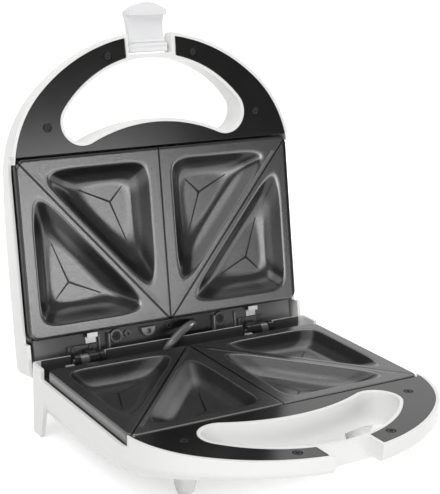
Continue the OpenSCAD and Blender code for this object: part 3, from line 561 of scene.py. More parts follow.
class Nodes:
    """Short way to write a material's or a group's node tree."""

    def __init__(self, tree: Tree) -> None:
        """Keeps the tree that nodes are added to."""
        self.tree = tree

    def add(self, kind: str, settings: dict | None = None, **inputs: object) -> Node:
        """Adds a node.

        Args:
            kind: Its type, such as ShaderNodeMath.
            settings: Properties of the node itself.
            inputs: Values or output sockets for its inputs, by name with _ for a space or by iN for place N.

        Returns:
            The node.
        """
        node = self.tree.nodes.new(kind)
        for key, value in (settings or {}).items():
            setattr(node, key, value)
        numbered = {key: key[0] == "i" and key[1:].isdigit() for key in inputs}
        named = {int(key[1:]) if numbered[key] else key.replace("_", " "): inputs[key] for key in inputs}
        return self.fill(node, named)

    def fill(self, node: Node, values: dict[int | str, object]) -> Node:
        """Gives inputs of a node their value or their link, by place or by name."""
        for key, value in values.items():
            if isinstance(value, Socket):
                self.tree.links.new(value, node.inputs[key])
            else:
                node.inputs[key].default_value = value
        return node

    def group(self, inner: Tree, values: dict[int | str, object]) -> Node:
        """A group node with its inputs filled."""
        return self.fill(self.add("ShaderNodeGroup", {"node_tree": inner}), values)

    def math(self, operation: str, a: object, b: object = 0.0, c: object = 0.0) -> Socket:
        """Output of a Math node."""
        return self.add("ShaderNodeMath", {"operation": operation}, i0=a, i1=b, i2=c).outputs[0]

    def vector(self, operation: str, a: object, b: object = (0.0, 0.0, 0.0)) -> Socket:
        """Output of a Vector Math node: a number for a length or a dot product, and else a vector."""
        node = self.add("ShaderNodeVectorMath", {"operation": operation}, i0=a, i1=b)
        return node.outputs["Value" if operation in ("LENGTH", "DOT_PRODUCT") else "Vector"]

    def scaled(self, a: object, scale: object) -> Socket:
        """A vector or a colour times a number."""
        return self.add("ShaderNodeVectorMath", {"operation": "SCALE"}, i0=a, Scale=scale).outputs[0]

    def step(self, value: object, start: object, end: object, low: object, high: object) -> Socket:
        """Smooth step from low to high while the value goes from start to end."""
        node = self.add("ShaderNodeMapRange", {"interpolation_type": "SMOOTHSTEP"}, Value=value)
        return self.fill(node, {"From Min": start, "From Max": end, "To Min": low, "To Max": high}).outputs[0]

    def mixed(self, factor: object, a: object, b: Colour) -> Socket:
        """Colour a turned into colour b by a factor."""
        node = self.add("ShaderNodeMix", {"data_type": "RGBA"}, Factor=factor)
        return self.fill(node, {6: a, 7: (*b, 1)}).outputs[2]

    def bump(self, shader: Node, strength: float, height: object) -> None:
        """Lets a height tilt the shader's normal."""
        node = self.add("ShaderNodeBump", Strength=strength, Distance=BUMP_REACH, Height=height)
        self.fill(shader, {"Normal": node.outputs[0]})


def new_material(name: str) -> tuple[Material, Nodes, Node]:
    """A new material, the writer of its tree and its shader."""
    material = bpy.data.materials.new(name)
    material.use_nodes = True
    tree = material.node_tree
    return material, Nodes(tree), tree.nodes["Principled BSDF"]


class Groups:
    """Shader node groups that several materials use."""

    SCALAR = "NodeSocketFloat"
    VECTOR = "NodeSocketVector"
    COLOUR = "NodeSocketColor"

    @staticmethod
    def start(
        name: str, inputs: dict[str, tuple[str, object]], outputs: dict[str, str]
    ) -> tuple[Tree, Nodes, dict[str, Socket]]:
        """Makes an empty group with its sockets.

        Args:
            name: Name of the group.
            inputs: Socket name to its type and first value.
            outputs: Socket name to its type.

        Returns:
            The tree, its writer and its input sockets by name.
        """
        tree = bpy.data.node_groups.new(name, "ShaderNodeTree")
        for key, (kind, value) in inputs.items():
            socket = tree.interface.new_socket(key, in_out="INPUT", socket_type=kind)
            if value is not None:
                socket.default_value = value
        for key, kind in outputs.items():
            tree.interface.new_socket(key, in_out="OUTPUT", socket_type=kind)
        n = Nodes(tree)
        source = n.add("NodeGroupInput")
        return tree, n, {key: source.outputs[key] for key in inputs}

    @staticmethod
    def mottle() -> Tree:
        """Slow cloudy change of colour and gloss, with a fine grain: two noises of the position."""
        name = "cloud_and_grain"
        if name in bpy.data.node_groups:
            return bpy.data.node_groups[name]
        scalar = Groups.SCALAR
        tree, n, given = Groups.start(
            name,
            {
                "Colour": (Groups.COLOUR, (0.8, 0.8, 0.8, 1)), "Cloud Scale": (scalar, 30.0),
                "Cloud": (scalar, 0.05), "Grain Scale": (scalar, 900.0), "Grain": (scalar, 0.05),
                "Gloss": (scalar, 0.3), "Gloss Change": (scalar, 0.1),
            },
            {"Colour": Groups.COLOUR, "Roughness": scalar, "Height": scalar},
        )
        place = n.add("ShaderNodeTexCoord").outputs["Object"]
        cloud = n.add("ShaderNodeTexNoise", Vector=place, Scale=given["Cloud Scale"], Detail=3.0).outputs[0]
        grain = n.add("ShaderNodeTexNoise", Vector=place, Scale=given["Grain Scale"], Detail=2.0).outputs[0]
        change = n.math("SUBTRACT", cloud, 0.5)
        swing = n.math("MULTIPLY", change, given["Cloud"])
        fine = n.math("MULTIPLY", n.math("SUBTRACT", grain, 0.5), given["Grain"])
        level = n.math("ADD", n.math("ADD", swing, fine), 1.0)
        gloss = n.math("MULTIPLY_ADD", change, given["Gloss Change"], given["Gloss"])
        n.add("NodeGroupOutput", Colour=n.scaled(given["Colour"], level), Roughness=gloss, Height=grain)
        return tree

    @staticmethod
    def seam() -> Tree:
        """Mask of a thin line from one place to another that may narrow on its way.

        The nearest place on the line is its start plus the length along it, held between 0 and 1. The mask
        falls from 1 to 0 where the distance to it passes the line's half width there.
        """
        name = "thin_line"
        if name in bpy.data.node_groups:
            return bpy.data.node_groups[name]
        scalar, vector = Groups.SCALAR, Groups.VECTOR
        tree, n, given = Groups.start(
            name,
            {
                "Place": (vector, None), "Start": (vector, (0, 0, 0)), "Run": (vector, (1, 0, 0)),
                "Start Width": (scalar, 0.5), "End Width": (scalar, 0.5), "Softness": (scalar, 0.3),
            },
            {"Mask": scalar},
        )
        run = given["Run"]
        offset = n.vector("SUBTRACT", given["Place"], given["Start"])
        along = n.math("DIVIDE", n.vector("DOT_PRODUCT", offset, run), n.vector("DOT_PRODUCT", run, run))
        held = n.math("MINIMUM", n.math("MAXIMUM", along, 0.0), 1.0)
        far = n.vector("LENGTH", n.vector("SUBTRACT", offset, n.scaled(run, held)))
        widening = n.math("SUBTRACT", given["End Width"], given["Start Width"])
        width = n.math("ADD", given["Start Width"], n.math("MULTIPLY", held, widening))
        outer = n.math("ADD", width, given["Softness"])
        n.add("NodeGroupOutput", Mask=n.step(far, width, outer, 1.0, 0.0))
        return tree

    @staticmethod
    def pocket_edge() -> Tree:
        """Distance inside a pocket's outline, as the plates' own formula gives it.

        The place is measured from the pocket's right angle along both legs, and the distance to the long side
        follows from the two. The least of the three is taken with the soft corners of the plates' surface.
        """
        name = "pocket_edge"
        if name in bpy.data.node_groups:
            return bpy.data.node_groups[name]
        vector, pocket = Groups.VECTOR, Pocket()
        tree, n, given = Groups.start(
            name,
            {"Place": (vector, None), "Corner": (vector, (0, 0, 0)), "Turn": (vector, (1, -1, 0))},
            {"Distance": Groups.SCALAR},
        )
        across, along = pocket.legs
        slant = math.hypot(across, along)
        offset = n.vector("SUBTRACT", given["Place"], given["Corner"])
        legs = n.add("ShaderNodeSeparateXYZ", Vector=n.vector("MULTIPLY", offset, given["Turn"]))
        p, q = legs.outputs[0], legs.outputs[1]
        beside = n.math("MULTIPLY_ADD", q, -across / slant, across * along / slant)
        long_side = n.math("MULTIPLY_ADD", p, -along / slant, beside)
        corner = n.math("SMOOTH_MIN", p, q, pocket.corner_blend)
        tips = n.math("MINIMUM", *(n.math("SMOOTH_MIN", leg, long_side, pocket.tip_blend) for leg in (q, p)))
        n.add("NodeGroupOutput", Distance=n.math("MINIMUM", corner, tips))
        return tree


@dataclass(frozen=True)
class Finish:
    """A surface finish: its colour, gloss, cloudiness and fine grain."""

    name: str
    colour: Colour
    roughness: float
    metallic: float = 0.0
    cloud: float = 0.06
    cloud_scale: float = 30.0
    grain: float = 0.05
    grain_scale: float = 900.0
    gloss_change: float = 0.08
    bump: float = 0.02
    coat: float = 0.0
    specular: float = 0.5
    transmission: float = 0.0

    def build(self) -> Material:
        """Makes the finish's material, or gives the one made before."""
        if self.name in bpy.data.materials:
            return bpy.data.materials[self.name]
        material, n, shader = new_material(self.name)
        look = n.group(
            Groups.mottle(),
            {
                "Colour": (*self.colour, 1), "Cloud Scale": self.cloud_scale, "Cloud": self.cloud,
                "Grain Scale": self.grain_scale, "Grain": self.grain, "Gloss": self.roughness,
                "Gloss Change": self.gloss_change,
            },
        )
        if self.bump:
            n.bump(shader, self.bump, look.outputs["Height"])
        n.fill(
            shader,
            {
                "Base Color": look.outputs["Colour"], "Roughness": look.outputs["Roughness"],
                "Metallic": self.metallic, "Coat Weight": self.coat, "Specular IOR Level": self.specular,
                "Transmission Weight": self.transmission,
            },
        )
        return material


WHITE_SHELL = Finish(
    "white_shell", (0.92, 0.92, 0.925), 0.2, cloud=0.01, grain=0.01, gloss_change=0.04, bump=0.01
)
BLACK_TRIM = Finish("black_trim", (0.008, 0.007, 0.007), 0.17, cloud=0.1, grain=0.2, bump=0.01, specular=0.65)
BLACK_SCREW = Finish("black_screw", (0.001, 0.001, 0.001), 0.18, grain_scale=2500, specular=0.08)
LATCH_WHITE = Finish("latch_white", (0.86, 0.86, 0.87), 0.3, cloud=0.01, grain=0.01, bump=0.01)
DARK_FRAME = Finish("dark_frame", (0.05, 0.05, 0.052), 0.36, cloud=0.2)
# Painted shade on the deck's moulded ribs, boss and collars: greys like the deck's, the ribs lighter where
# light catches them.
RIB_PAINTED_SHADE = Finish("rib_painted_shade", (0.13, 0.13, 0.132), 0.3, cloud=0.2, coat=0.3)
RING_PAINTED_SHADE = Finish("ring_painted_shade", (0.045, 0.045, 0.046), 0.3, cloud=0.2, coat=0.2)
DARK_HINGE = Finish("dark_hinge", (0.018, 0.018, 0.019), 0.22, coat=0.3)
GREY_HINGE = Finish("grey_hinge", (0.3, 0.3, 0.305), 0.26, metallic=0.7)
BRIGHT_TAB = Finish("bright_tab", (0.6, 0.6, 0.6), 0.32, metallic=0.4)
STEEL = Finish("zinc_steel", (0.56, 0.56, 0.58), 0.26, metallic=1.0, grain_scale=2200)
ELEMENT = Finish("element_sheath", (0.16, 0.15, 0.145), 0.45, metallic=0.9, cloud=0.3)
SHIELD = Finish("bright_shield", (0.78, 0.78, 0.8), 0.25, metallic=1.0)
CREAM = Finish("cream_moulding", (0.7, 0.66, 0.56), 0.4)
RED_WIRE = Finish("red_wire", (0.42, 0.05, 0.035), 0.38)
RUBBER = Finish("black_rubber", (0.02, 0.02, 0.02), 0.55, grain=0.2, bump=0.08)
RED_LENS = Finish("red_lens", (0.62, 0.03, 0.02), 0.12, transmission=0.4, coat=0.3, bump=0.0)
CLEAR_LAMP = Finish("lamp_glass", (0.85, 0.8, 0.7), 0.1, transmission=0.6, bump=0.0)
SLEEVE = Finish("cable_sleeve", (0.13, 0.13, 0.13), 0.14, cloud=0.4, cloud_scale=120, coat=1.0)


@dataclass(frozen=True)
class DeckPaintedShade:
    """Painted shade on the lid's deck: a grey painted dark between its two ribs and lighter towards both
    sides, as the light falls on it.
    """

    # Stops of painted shade across x: darkest between the ribs, lighter towards the sides.
    stops: tuple[tuple[float, float], ...] = (
        (-107, 0.17), (-96, 0.1), (-84, 0.05), (-52, 0.03), (-49, 0.035), (-20, 0.03), (0, 0.01), (36, 0.006),
        (39, 0.05), (62, 0.07), (84, 0.08), (107, 0.16),
    )
    reach: float = 120.0

    def build(self) -> Material:
        """Makes the material, or gives the one made before."""
        name = "deck_painted_shade"
        if name in bpy.data.materials:
            return bpy.data.materials[name]
        material, n, shader = new_material(name)
        place = n.add("ShaderNodeTexCoord").outputs["Object"]
        x = n.add("ShaderNodeSeparateXYZ", Vector=place).outputs[0]
        share = n.math("MULTIPLY_ADD", x, 1 / (2 * self.reach * MM), 0.5)
        ramp = n.add("ShaderNodeValToRGB", Fac=share)
        points = ramp.color_ramp.elements
        while len(points) < len(self.stops):
            points.new(0.5)
        for point, (at, grey) in zip(points, self.stops):
            point.position = (at + self.reach) / (2 * self.reach)
            point.color = (grey, grey, grey, 1)
        cloudy = {"Colour": ramp.outputs[0], "Cloud Scale": 60.0, "Cloud": 0.3, "Grain": 0.1, "Gloss": 0.34}
        look = n.group(Groups.mottle(), cloudy)
        n.fill(shader, {"Base Color": look.outputs["Colour"], "Roughness": look.outputs["Roughness"]})
        return material


TWIN_FINISHES: dict[str, Finish] = {
    "casing": WHITE_SHELL, "trim_panel": BLACK_TRIM, "trim_screws": BLACK_SCREW, "grill_plate": GREY_HINGE,
    "plate_screws": STEEL, "frame_screws": BLACK_SCREW, "heating_element": ELEMENT, "element_clamps": STEEL,
    "heat_shield": SHIELD, "plate_clips": BRIGHT_TAB, "wiring": RED_WIRE,
}
NODE_FINISHES: dict[str, Finish | DeckPaintedShade] = {
    **{f"{half.value}_{name}": finish for name, finish in TWIN_FINISHES.items() for half in Half},
    # The lid's inner frame takes the deck's painted shade.
    "base_inner_frame": DARK_FRAME, "lid_inner_frame": DeckPaintedShade(),
    "base_hinge_brackets": GREY_HINGE, "lid_hinge_brackets": DARK_HINGE,
    "base_hinge_screws": STEEL, "lid_hinge_screws": DARK_FRAME,
    "hinge_pins": STEEL, "latch_pin": STEEL, "latch": WHITE_SHELL, "link_cable": SLEEVE,
    "thermostat": CREAM, "thermal_fuse": CREAM, "terminal_block": CREAM, "cord_inlet": RUBBER,
    "indicator_lenses": RED_LENS, "indicator_lamps": CLEAR_LAMP,
}


@dataclass(frozen=True)
class NonStickCoating:
    """Satin dark coating of the plates, with their pressed lines in its relief and as painted shade in its
    colour, painted highlights on the pocket lips and beads, painted shade on the pocket walls, and painted
    shade on the lid's rolled rim and a painted highlight on the base's.
    """

    half: Half
    colour: Colour = (0.115, 0.115, 0.116)
    # Painted shade: colour of the pressed grooves and spokes.
    line_shade_colour: Colour = (0.006, 0.006, 0.007)
    # Painted highlight: a pale band at each pocket's lip, where its rounding catches the light.
    lip_highlight_colour: Colour = (0.3, 0.3, 0.3)
    lip_highlight_level: float = 0.55
    lip_highlight_reach: tuple[float, float] = (0.1, 0.55)
    # Painted shade on the pocket walls: the colour is darkened in a band inside each lip.
    wall_painted_shade: float = 0.45
    wall_shade_middle: float = 3.0
    wall_shade_reach: tuple[float, float] = (1.4, 4.2)
    # Band of the rolled rim that is painted with shade on the lid and with a highlight on the base.
    rim_paint_reach: tuple[float, float] = (0.2, 1.3)
    roughness: float = 0.22
    metallic: float = 0.72
    groove_w: float = 0.62
    rib_w: float = 0.5
    rib_lengths: tuple[float, float, float] = (14.6, 26.0, 30.7)
    # Painted highlight lines beside the diagonal groove.
    bead_highlight_w: float = 0.16
    bead_highlight_places: tuple[float, float] = (1.9, 3.3)
    line_soft: float = 0.35

    @property
    def rim_painted_light(self) -> float:
        """Painted light on the rolled rim beside the face: painted shade on the lid, a painted highlight on
        the base.
        """
        return 1.4 if self.half is Half.BASE else 0.12

    @property
    def rim_shade_right(self) -> float:
        """How much wider the painted shade on the rim is on the right, which is turned away from the light on
        the lid.
        """
        return 0.0 if self.half is Half.BASE else 2.9

    def lines(self) -> list[tuple[Array, Array, float, float]]:
        """Start, end and half widths of the lines painted dark as shade on the right half plate, in plan
        millimetres.

        Returns:
            The middle groove, the diagonal groove and the three spokes of each pocket's floor.
        """
        w, g = S.plate_w / 2, self.groove_w
        rear, front = S.plate_setback, S.plate_front
        found = [
            (np.array([0.0, rear]), np.array([0.0, front]), g, g),
            (np.array([0.0, rear]), np.array([w, front]), g * 0.85, g * 0.85),
        ]
        pocket = Pocket()
        for name in ("front", "rear"):
            middle = pocket.to_plate(np.array([[pocket.inner_r, pocket.inner_r]]), name)[0]
            corners = pocket.to_plate(pocket.corners(), name)
            for corner, length in zip(corners, self.rib_lengths):
                step = (corner - middle) / np.linalg.norm(corner - middle)
                found.append((middle, middle + step * length, self.rib_w, 0.08))
        return found

    def bead_highlights(self) -> list[tuple[Array, Array, float, float]]:
        """Start, end and half widths of the painted highlight lines beside the diagonal groove, in plan
        millimetres.
        """
        rear, w = np.array([0.0, S.plate_setback]), S.plate_w / 2
        run = np.array([w, S.plate_l])
        away = np.array([-S.plate_l, w]) / np.linalg.norm(run)
        ends = [[rear + away * d + run * t for t in (0.1, 0.9)] for d in self.bead_highlight_places]
        return [(start, end, self.bead_highlight_w, self.bead_highlight_w) for start, end in ends]

    def mask(self, n: Nodes, plan: Socket, lines: list) -> Socket:
        """One mask of several lines on the folded plan."""
        found: object = 0.0
        for start, end, w0, w1 in lines:
            values = {
                "Place": plan, "Start": (*start, 0), "Run": (*(end - start), 0), "Start Width": w0,
                "End Width": w1, "Softness": self.line_soft,
            }
            line = n.group(Groups.seam(), values)
            found = n.math("MAXIMUM", line.outputs["Mask"], found)
        return found

    def edge(self, n: Nodes, plan: Socket) -> Socket:
        """Distance inside the nearer pocket's outline, negative on the land."""
        found = []
        for which, turn in (("front", (1, -1, 0)), ("rear", (-1, 1, 0))):
            corner = Pocket.to_plate(np.zeros((1, 2)), which)[0]
            group = n.group(Groups.pocket_edge(), {"Place": plan, "Corner": (*corner, 0), "Turn": turn})
            found.append(group.outputs["Distance"])
        return n.math("MAXIMUM", *found)

    def build(self, matrix: Matrix) -> Material:
        """Makes the material.

        Args:
            matrix: Plan space to the row frame for this half.

        Returns:
            The material, whose lines follow the object's coordinates folded about the middle.
        """
        material, n, shader = new_material(f"nonstick_{self.half.value}")
        forward = (matrix.to_3x3() @ Vector((0, 1, 0))) / MM**2
        place = n.add("ShaderNodeTexCoord").outputs["Object"]
        offset = n.vector("SUBTRACT", place, tuple(matrix.translation))
        v = n.vector("DOT_PRODUCT", offset, tuple(forward))
        across = n.vector("DOT_PRODUCT", offset, (1 / MM, 0, 0))
        plan = n.add("ShaderNodeCombineXYZ", X=n.math("ABSOLUTE", across), Y=v).outputs[0]
        # dark holds the lines painted as shade in the grooves and spokes; pale holds the painted highlight
        # beads.
        dark, pale = self.mask(n, plan, self.lines()), self.mask(n, plan, self.bead_highlights())
        inside = self.edge(n, plan)
        # Painted highlight at the pocket lips.
        lip_highlight = n.step(n.math("ABSOLUTE", inside), *self.lip_highlight_reach, self.lip_highlight_level, 0.0)
        # Painted shade on the pocket walls.
        from_wall = n.math("ABSOLUTE", n.math("SUBTRACT", inside, self.wall_shade_middle))
        wall = n.step(from_wall, *self.wall_shade_reach, self.wall_painted_shade, 1.0)
        # Painted shade on the lid's rolled rim, wider on its right, and a painted highlight on the base's
        # rim.
        half_w = S.plate_w / 2
        ends = n.math("MINIMUM", n.math("SUBTRACT", v, S.plate_setback), n.math("SUBTRACT", S.plate_front, v))
        right = n.math("SUBTRACT", half_w - self.rim_shade_right, across)
        sides = n.math("MINIMUM", right, n.math("ADD", half_w, across))
        rim = n.step(n.math("MINIMUM", sides, ends), *self.rim_paint_reach, self.rim_painted_light, 1.0)
        look = n.group(
            Groups.mottle(),
            {
                "Colour": (*self.colour, 1), "Cloud Scale": 18.0, "Cloud": 0.12, "Grain Scale": 1200.0,
                "Grain": 1.3, "Gloss": self.roughness, "Gloss Change": 0.06,
            },
        )
        # Painted shade from the pocket walls and the rim scales the colour.
        painted_shade_colour = n.scaled(look.outputs["Colour"], n.math("MULTIPLY", wall, rim))
        # Painted highlights lighten the colour: the lips fully, the beads at half strength.
        light = n.mixed(n.math("MAXIMUM", lip_highlight, n.math("MULTIPLY", pale, 0.5)), painted_shade_colour, self.lip_highlight_colour)
        # Painted shade darkens the grooves and spokes.
        colour = n.mixed(dark, light, self.line_shade_colour)
        grain = n.math("MULTIPLY", look.outputs["Height"], 0.2)
        n.bump(shader, 0.6, n.math("SUBTRACT", grain, n.math("SUBTRACT", dark, pale)))
        n.fill(
            shader,
            {
                "Base Color": colour, "Roughness": look.outputs["Roughness"], "Metallic": self.metallic,
                "Specular IOR Level": 1.0,
            },
        )
        return material


def soft_min(a: Array, b: Array, k: float) -> Array:
    """The lesser of two fields, their crossing rounded over the width k: least value less h cubed k / 6."""
    h = np.maximum(k - np.abs(a - b), 0.0) / k
    return np.minimum(a, b) - h**3 * k / 6


@dataclass(frozen=True)
class Pocket:
    """One triangular pocket, drawn with its right angle at the origin and its legs along both axes."""

    corner_blend: float = 19.3
    tip_blend: float = 27.7
    lip_blend: float = 1.6
    floor_blend: float = 6.0

    @property
    def legs(self) -> tuple[float, float]:
        """Length of the leg across and of the leg along the plate."""
        w = S.plate_w / 2
        diagonal = math.hypot(w, S.plate_l)
        across = w - S.land_w * (1 + w / S.plate_l) - S.diagonal_w / 2 * diagonal / S.plate_l
        along = S.plate_l - S.land_w * (1 + S.plate_l / w) - S.diagonal_w / 2 * diagonal / w
        return across, along

    @property
    def inner_r(self) -> float:
        """Radius of the circle that touches all three sides."""
        across, along = self.legs
        return (across + along - math.hypot(across, along)) / 2

    def corners(self) -> Array:
        """Right angle, the tip at the end of the leg across and the tip at the end of the other."""
        across, along = self.legs
        return np.array([[0.0, 0.0], [across, 0.0], [0.0, along]])

    @staticmethod
    def to_plate(points: Array, which: str) -> Array:
        """Points of a pocket on the right half plate; the front pocket's right angle is near the middle."""
        if which == "front":
            return np.array([S.land_w, S.plate_front - S.land_w]) + points * (1, -1)
        return np.array([S.plate_w / 2 - S.land_w, S.plate_setback + S.land_w]) + points * (-1, 1)

    @staticmethod
    def from_plate(x: Array, v: Array, which: str) -> tuple[Array, Array]:
        """The pocket's own coordinates of places on the right half plate."""
        if which == "front":
            return x - S.land_w, S.plate_front - S.land_w - v
        return S.plate_w / 2 - S.land_w - x, v - S.plate_setback - S.land_w

    def depth(self, p: Array, q: Array) -> Array:
        """Depth of the pocket below the land.

        The distance inside each side is blended into one, held with soft ends between 0 and the width of the
        sloping wall, and scaled to the pocket's depth.

        Args:
            p: Distance along the leg across.
            q: Distance along the other leg.

        Returns:
            The depth at each place, in millimetres.
        """
        across, along = self.legs
        long_side = (across * along - along * p - across * q) / math.hypot(across, along)
        e = soft_min(q, p, self.corner_blend)
        e = np.minimum(e, soft_min(q, long_side, self.tip_blend))
        e = np.minimum(e, soft_min(p, long_side, self.tip_blend))
        held = -soft_min(-e, np.zeros_like(e), self.lip_blend)
        slope_w = S.pocket_slope
        inner = soft_min(held, np.full_like(held, slope_w), self.floor_blend)
        return np.maximum(inner, 0.0) * S.pocket_d / slope_w


@dataclass
class GrillPlate:
    """Cast plate: a fine face, its rolled edge and skirt, and a coarser underside that closes it."""

    half: Half
    step: float = 0.64
    band: float = 7.5
    edge_roll: float = 2.2
    thickness: float = 2.5
    arc_points: int = 13

    def relief(self, x: Array, v: Array) -> Array:
        """Depth of the plate's face below the mating plane at x, v."""
        pocket = Pocket()
        folded = np.abs(x)
        out = np.zeros_like(x)
        for which in ("front", "rear"):
            p, q = pocket.from_plate(folded, v, which)
            out = np.maximum(out, pocket.depth(p, q))
        return S.face_gap + out

    def lines(self) -> tuple[Array, Array]:
        """Grid lines of x and v inside the border band, with an even number of cells each way."""
        w = S.plate_w / 2 - self.band
        v0, v1 = S.plate_setback + self.band, S.plate_front - self.band
        nx, nv = round(w / self.step), round((v1 - v0) / 2 / self.step)
        return np.linspace(-w, w, 2 * nx + 1), np.linspace(v0, v1, 2 * nv + 1)

    def sheet(self, every: int, drop: float) -> tuple[Array, Array]:
        """The face inside the border band as a height over every nth grid line, lowered by drop."""
        gx, gv = np.meshgrid(*(line[::every] for line in self.lines()))
        points = np.stack([gx, gv, self.relief(gx, gv) + drop], axis=-1).reshape(-1, 3)
        return points, grid_faces(*gx.shape, False)

    def frame(self) -> Array:
        """Plan outline of the border: rows of a centre, an outward direction and a corner direction.

        Round corners alternate with straight runs, which hold the grid's own lines. Drawn in by e, a point is
        the centre, plus the outward direction times what e leaves of the corner radius, less the corner
        direction times what e takes beyond that radius.
        """
        w, r, n = S.plate_w / 2, S.plate_corner_r, self.arc_points
        xs, vs = (line[1:-1] for line in self.lines())
        sides = ((1, 1, vs[::-1]), (1, -1, xs[::-1]), (-1, -1, vs), (-1, 1, xs))
        rows = []
        for turn, (sx, sv, run) in enumerate(sides):
            cx, cv = sx * (w - r), S.plate_front - r if sv > 0 else S.plate_setback + r
            a = math.pi / 2 * (turn + np.linspace(0, 1, n))
            centre, corner = (np.tile(pair, (n, 1)) for pair in ((cx, cv), (sx, sv)))
            rows.append(np.column_stack([centre, np.sin(a), np.cos(a), corner]))
            out = np.round((np.sin(a[-1]), np.cos(a[-1])))
            centre = np.tile((cx, cv), (len(run), 1)).astype(float)
            centre[:, 1 if out[0] else 0] = run
            rows.append(np.column_stack([centre, np.tile(out, (len(run), 2))]))
        return np.concatenate(rows)

    def border(self) -> tuple[Array, list[Sequence[int]]]:
        """The border band, rolled edge and skirt: one profile carried round the frame, outside and inside.

        The profile is flat from the band's inner side, turns down on a quarter circle, ends in the skirt and
        comes back under the band, where five-cornered faces lead over to the underside's coarser grid.
        """
        frame, roll, t = self.frame(), self.edge_roll, self.thickness
        turn = np.linspace(0, math.pi / 2, 8)
        under = [0.0, 0.5, t - 0.4, t, t, t + 0.8, self.band]
        inset = np.concatenate([[self.band, 5.0, roll + 0.6], roll - roll * np.sin(turn), under])
        low = S.skirt_h
        depth = S.face_gap + np.concatenate([
            [0, 0, 0], roll - roll * np.cos(turn), [low - 0.4, low, low, low - 0.4, t + 0.8, t, t],
        ])
        left = S.plate_corner_r - inset
        reach, beyond = np.maximum(left, 0), np.minimum(left, 0)
        plan = frame[:, :2] + reach[:, None, None] * frame[:, 2:4] + beyond[:, None, None] * frame[:, 4:]
        rings = np.concatenate([plan, np.broadcast_to(depth[:, None, None], (*plan.shape[:2], 1))], axis=-1)
        n, last = len(frame), (len(rings) - 1) * len(frame)
        faces = grid_faces(len(rings) - 1, n, True).tolist()
        i = np.arange(0, n, 2)
        j = (i + 2) % n
        fine = last - n
        faces += np.stack([last + i // 2, last + j // 2, fine + j, fine + i + 1, fine + i], axis=-1).tolist()
        return np.concatenate([rings[:-1].reshape(-1, 3), rings[-1, ::2]]), faces

    def build(self, shop: Workshop) -> Solid:
        """Makes the plate, dresses it and stands it for its node."""
        points, faces, count = [], [], 0
        for part_points, part_faces in (self.sheet(1, 0.0), self.border(), self.sheet(2, self.thickness)):
            faces += [[count + corner for corner in face] for face in part_faces]
            points.append(part_points)
            count += len(part_points)
        obj = mesh_object(f"{self.half.value}_plate_surface", np.round(np.concatenate(points), 4), faces)
        material = NonStickCoating(self.half).build(shop.matrices[self.half])
        nodes = [f"{self.half.value}_grill_plate"]
        return shop.place(obj, self.half, material, "nonstick", nodes, smooth_angle=60, weighted=False)


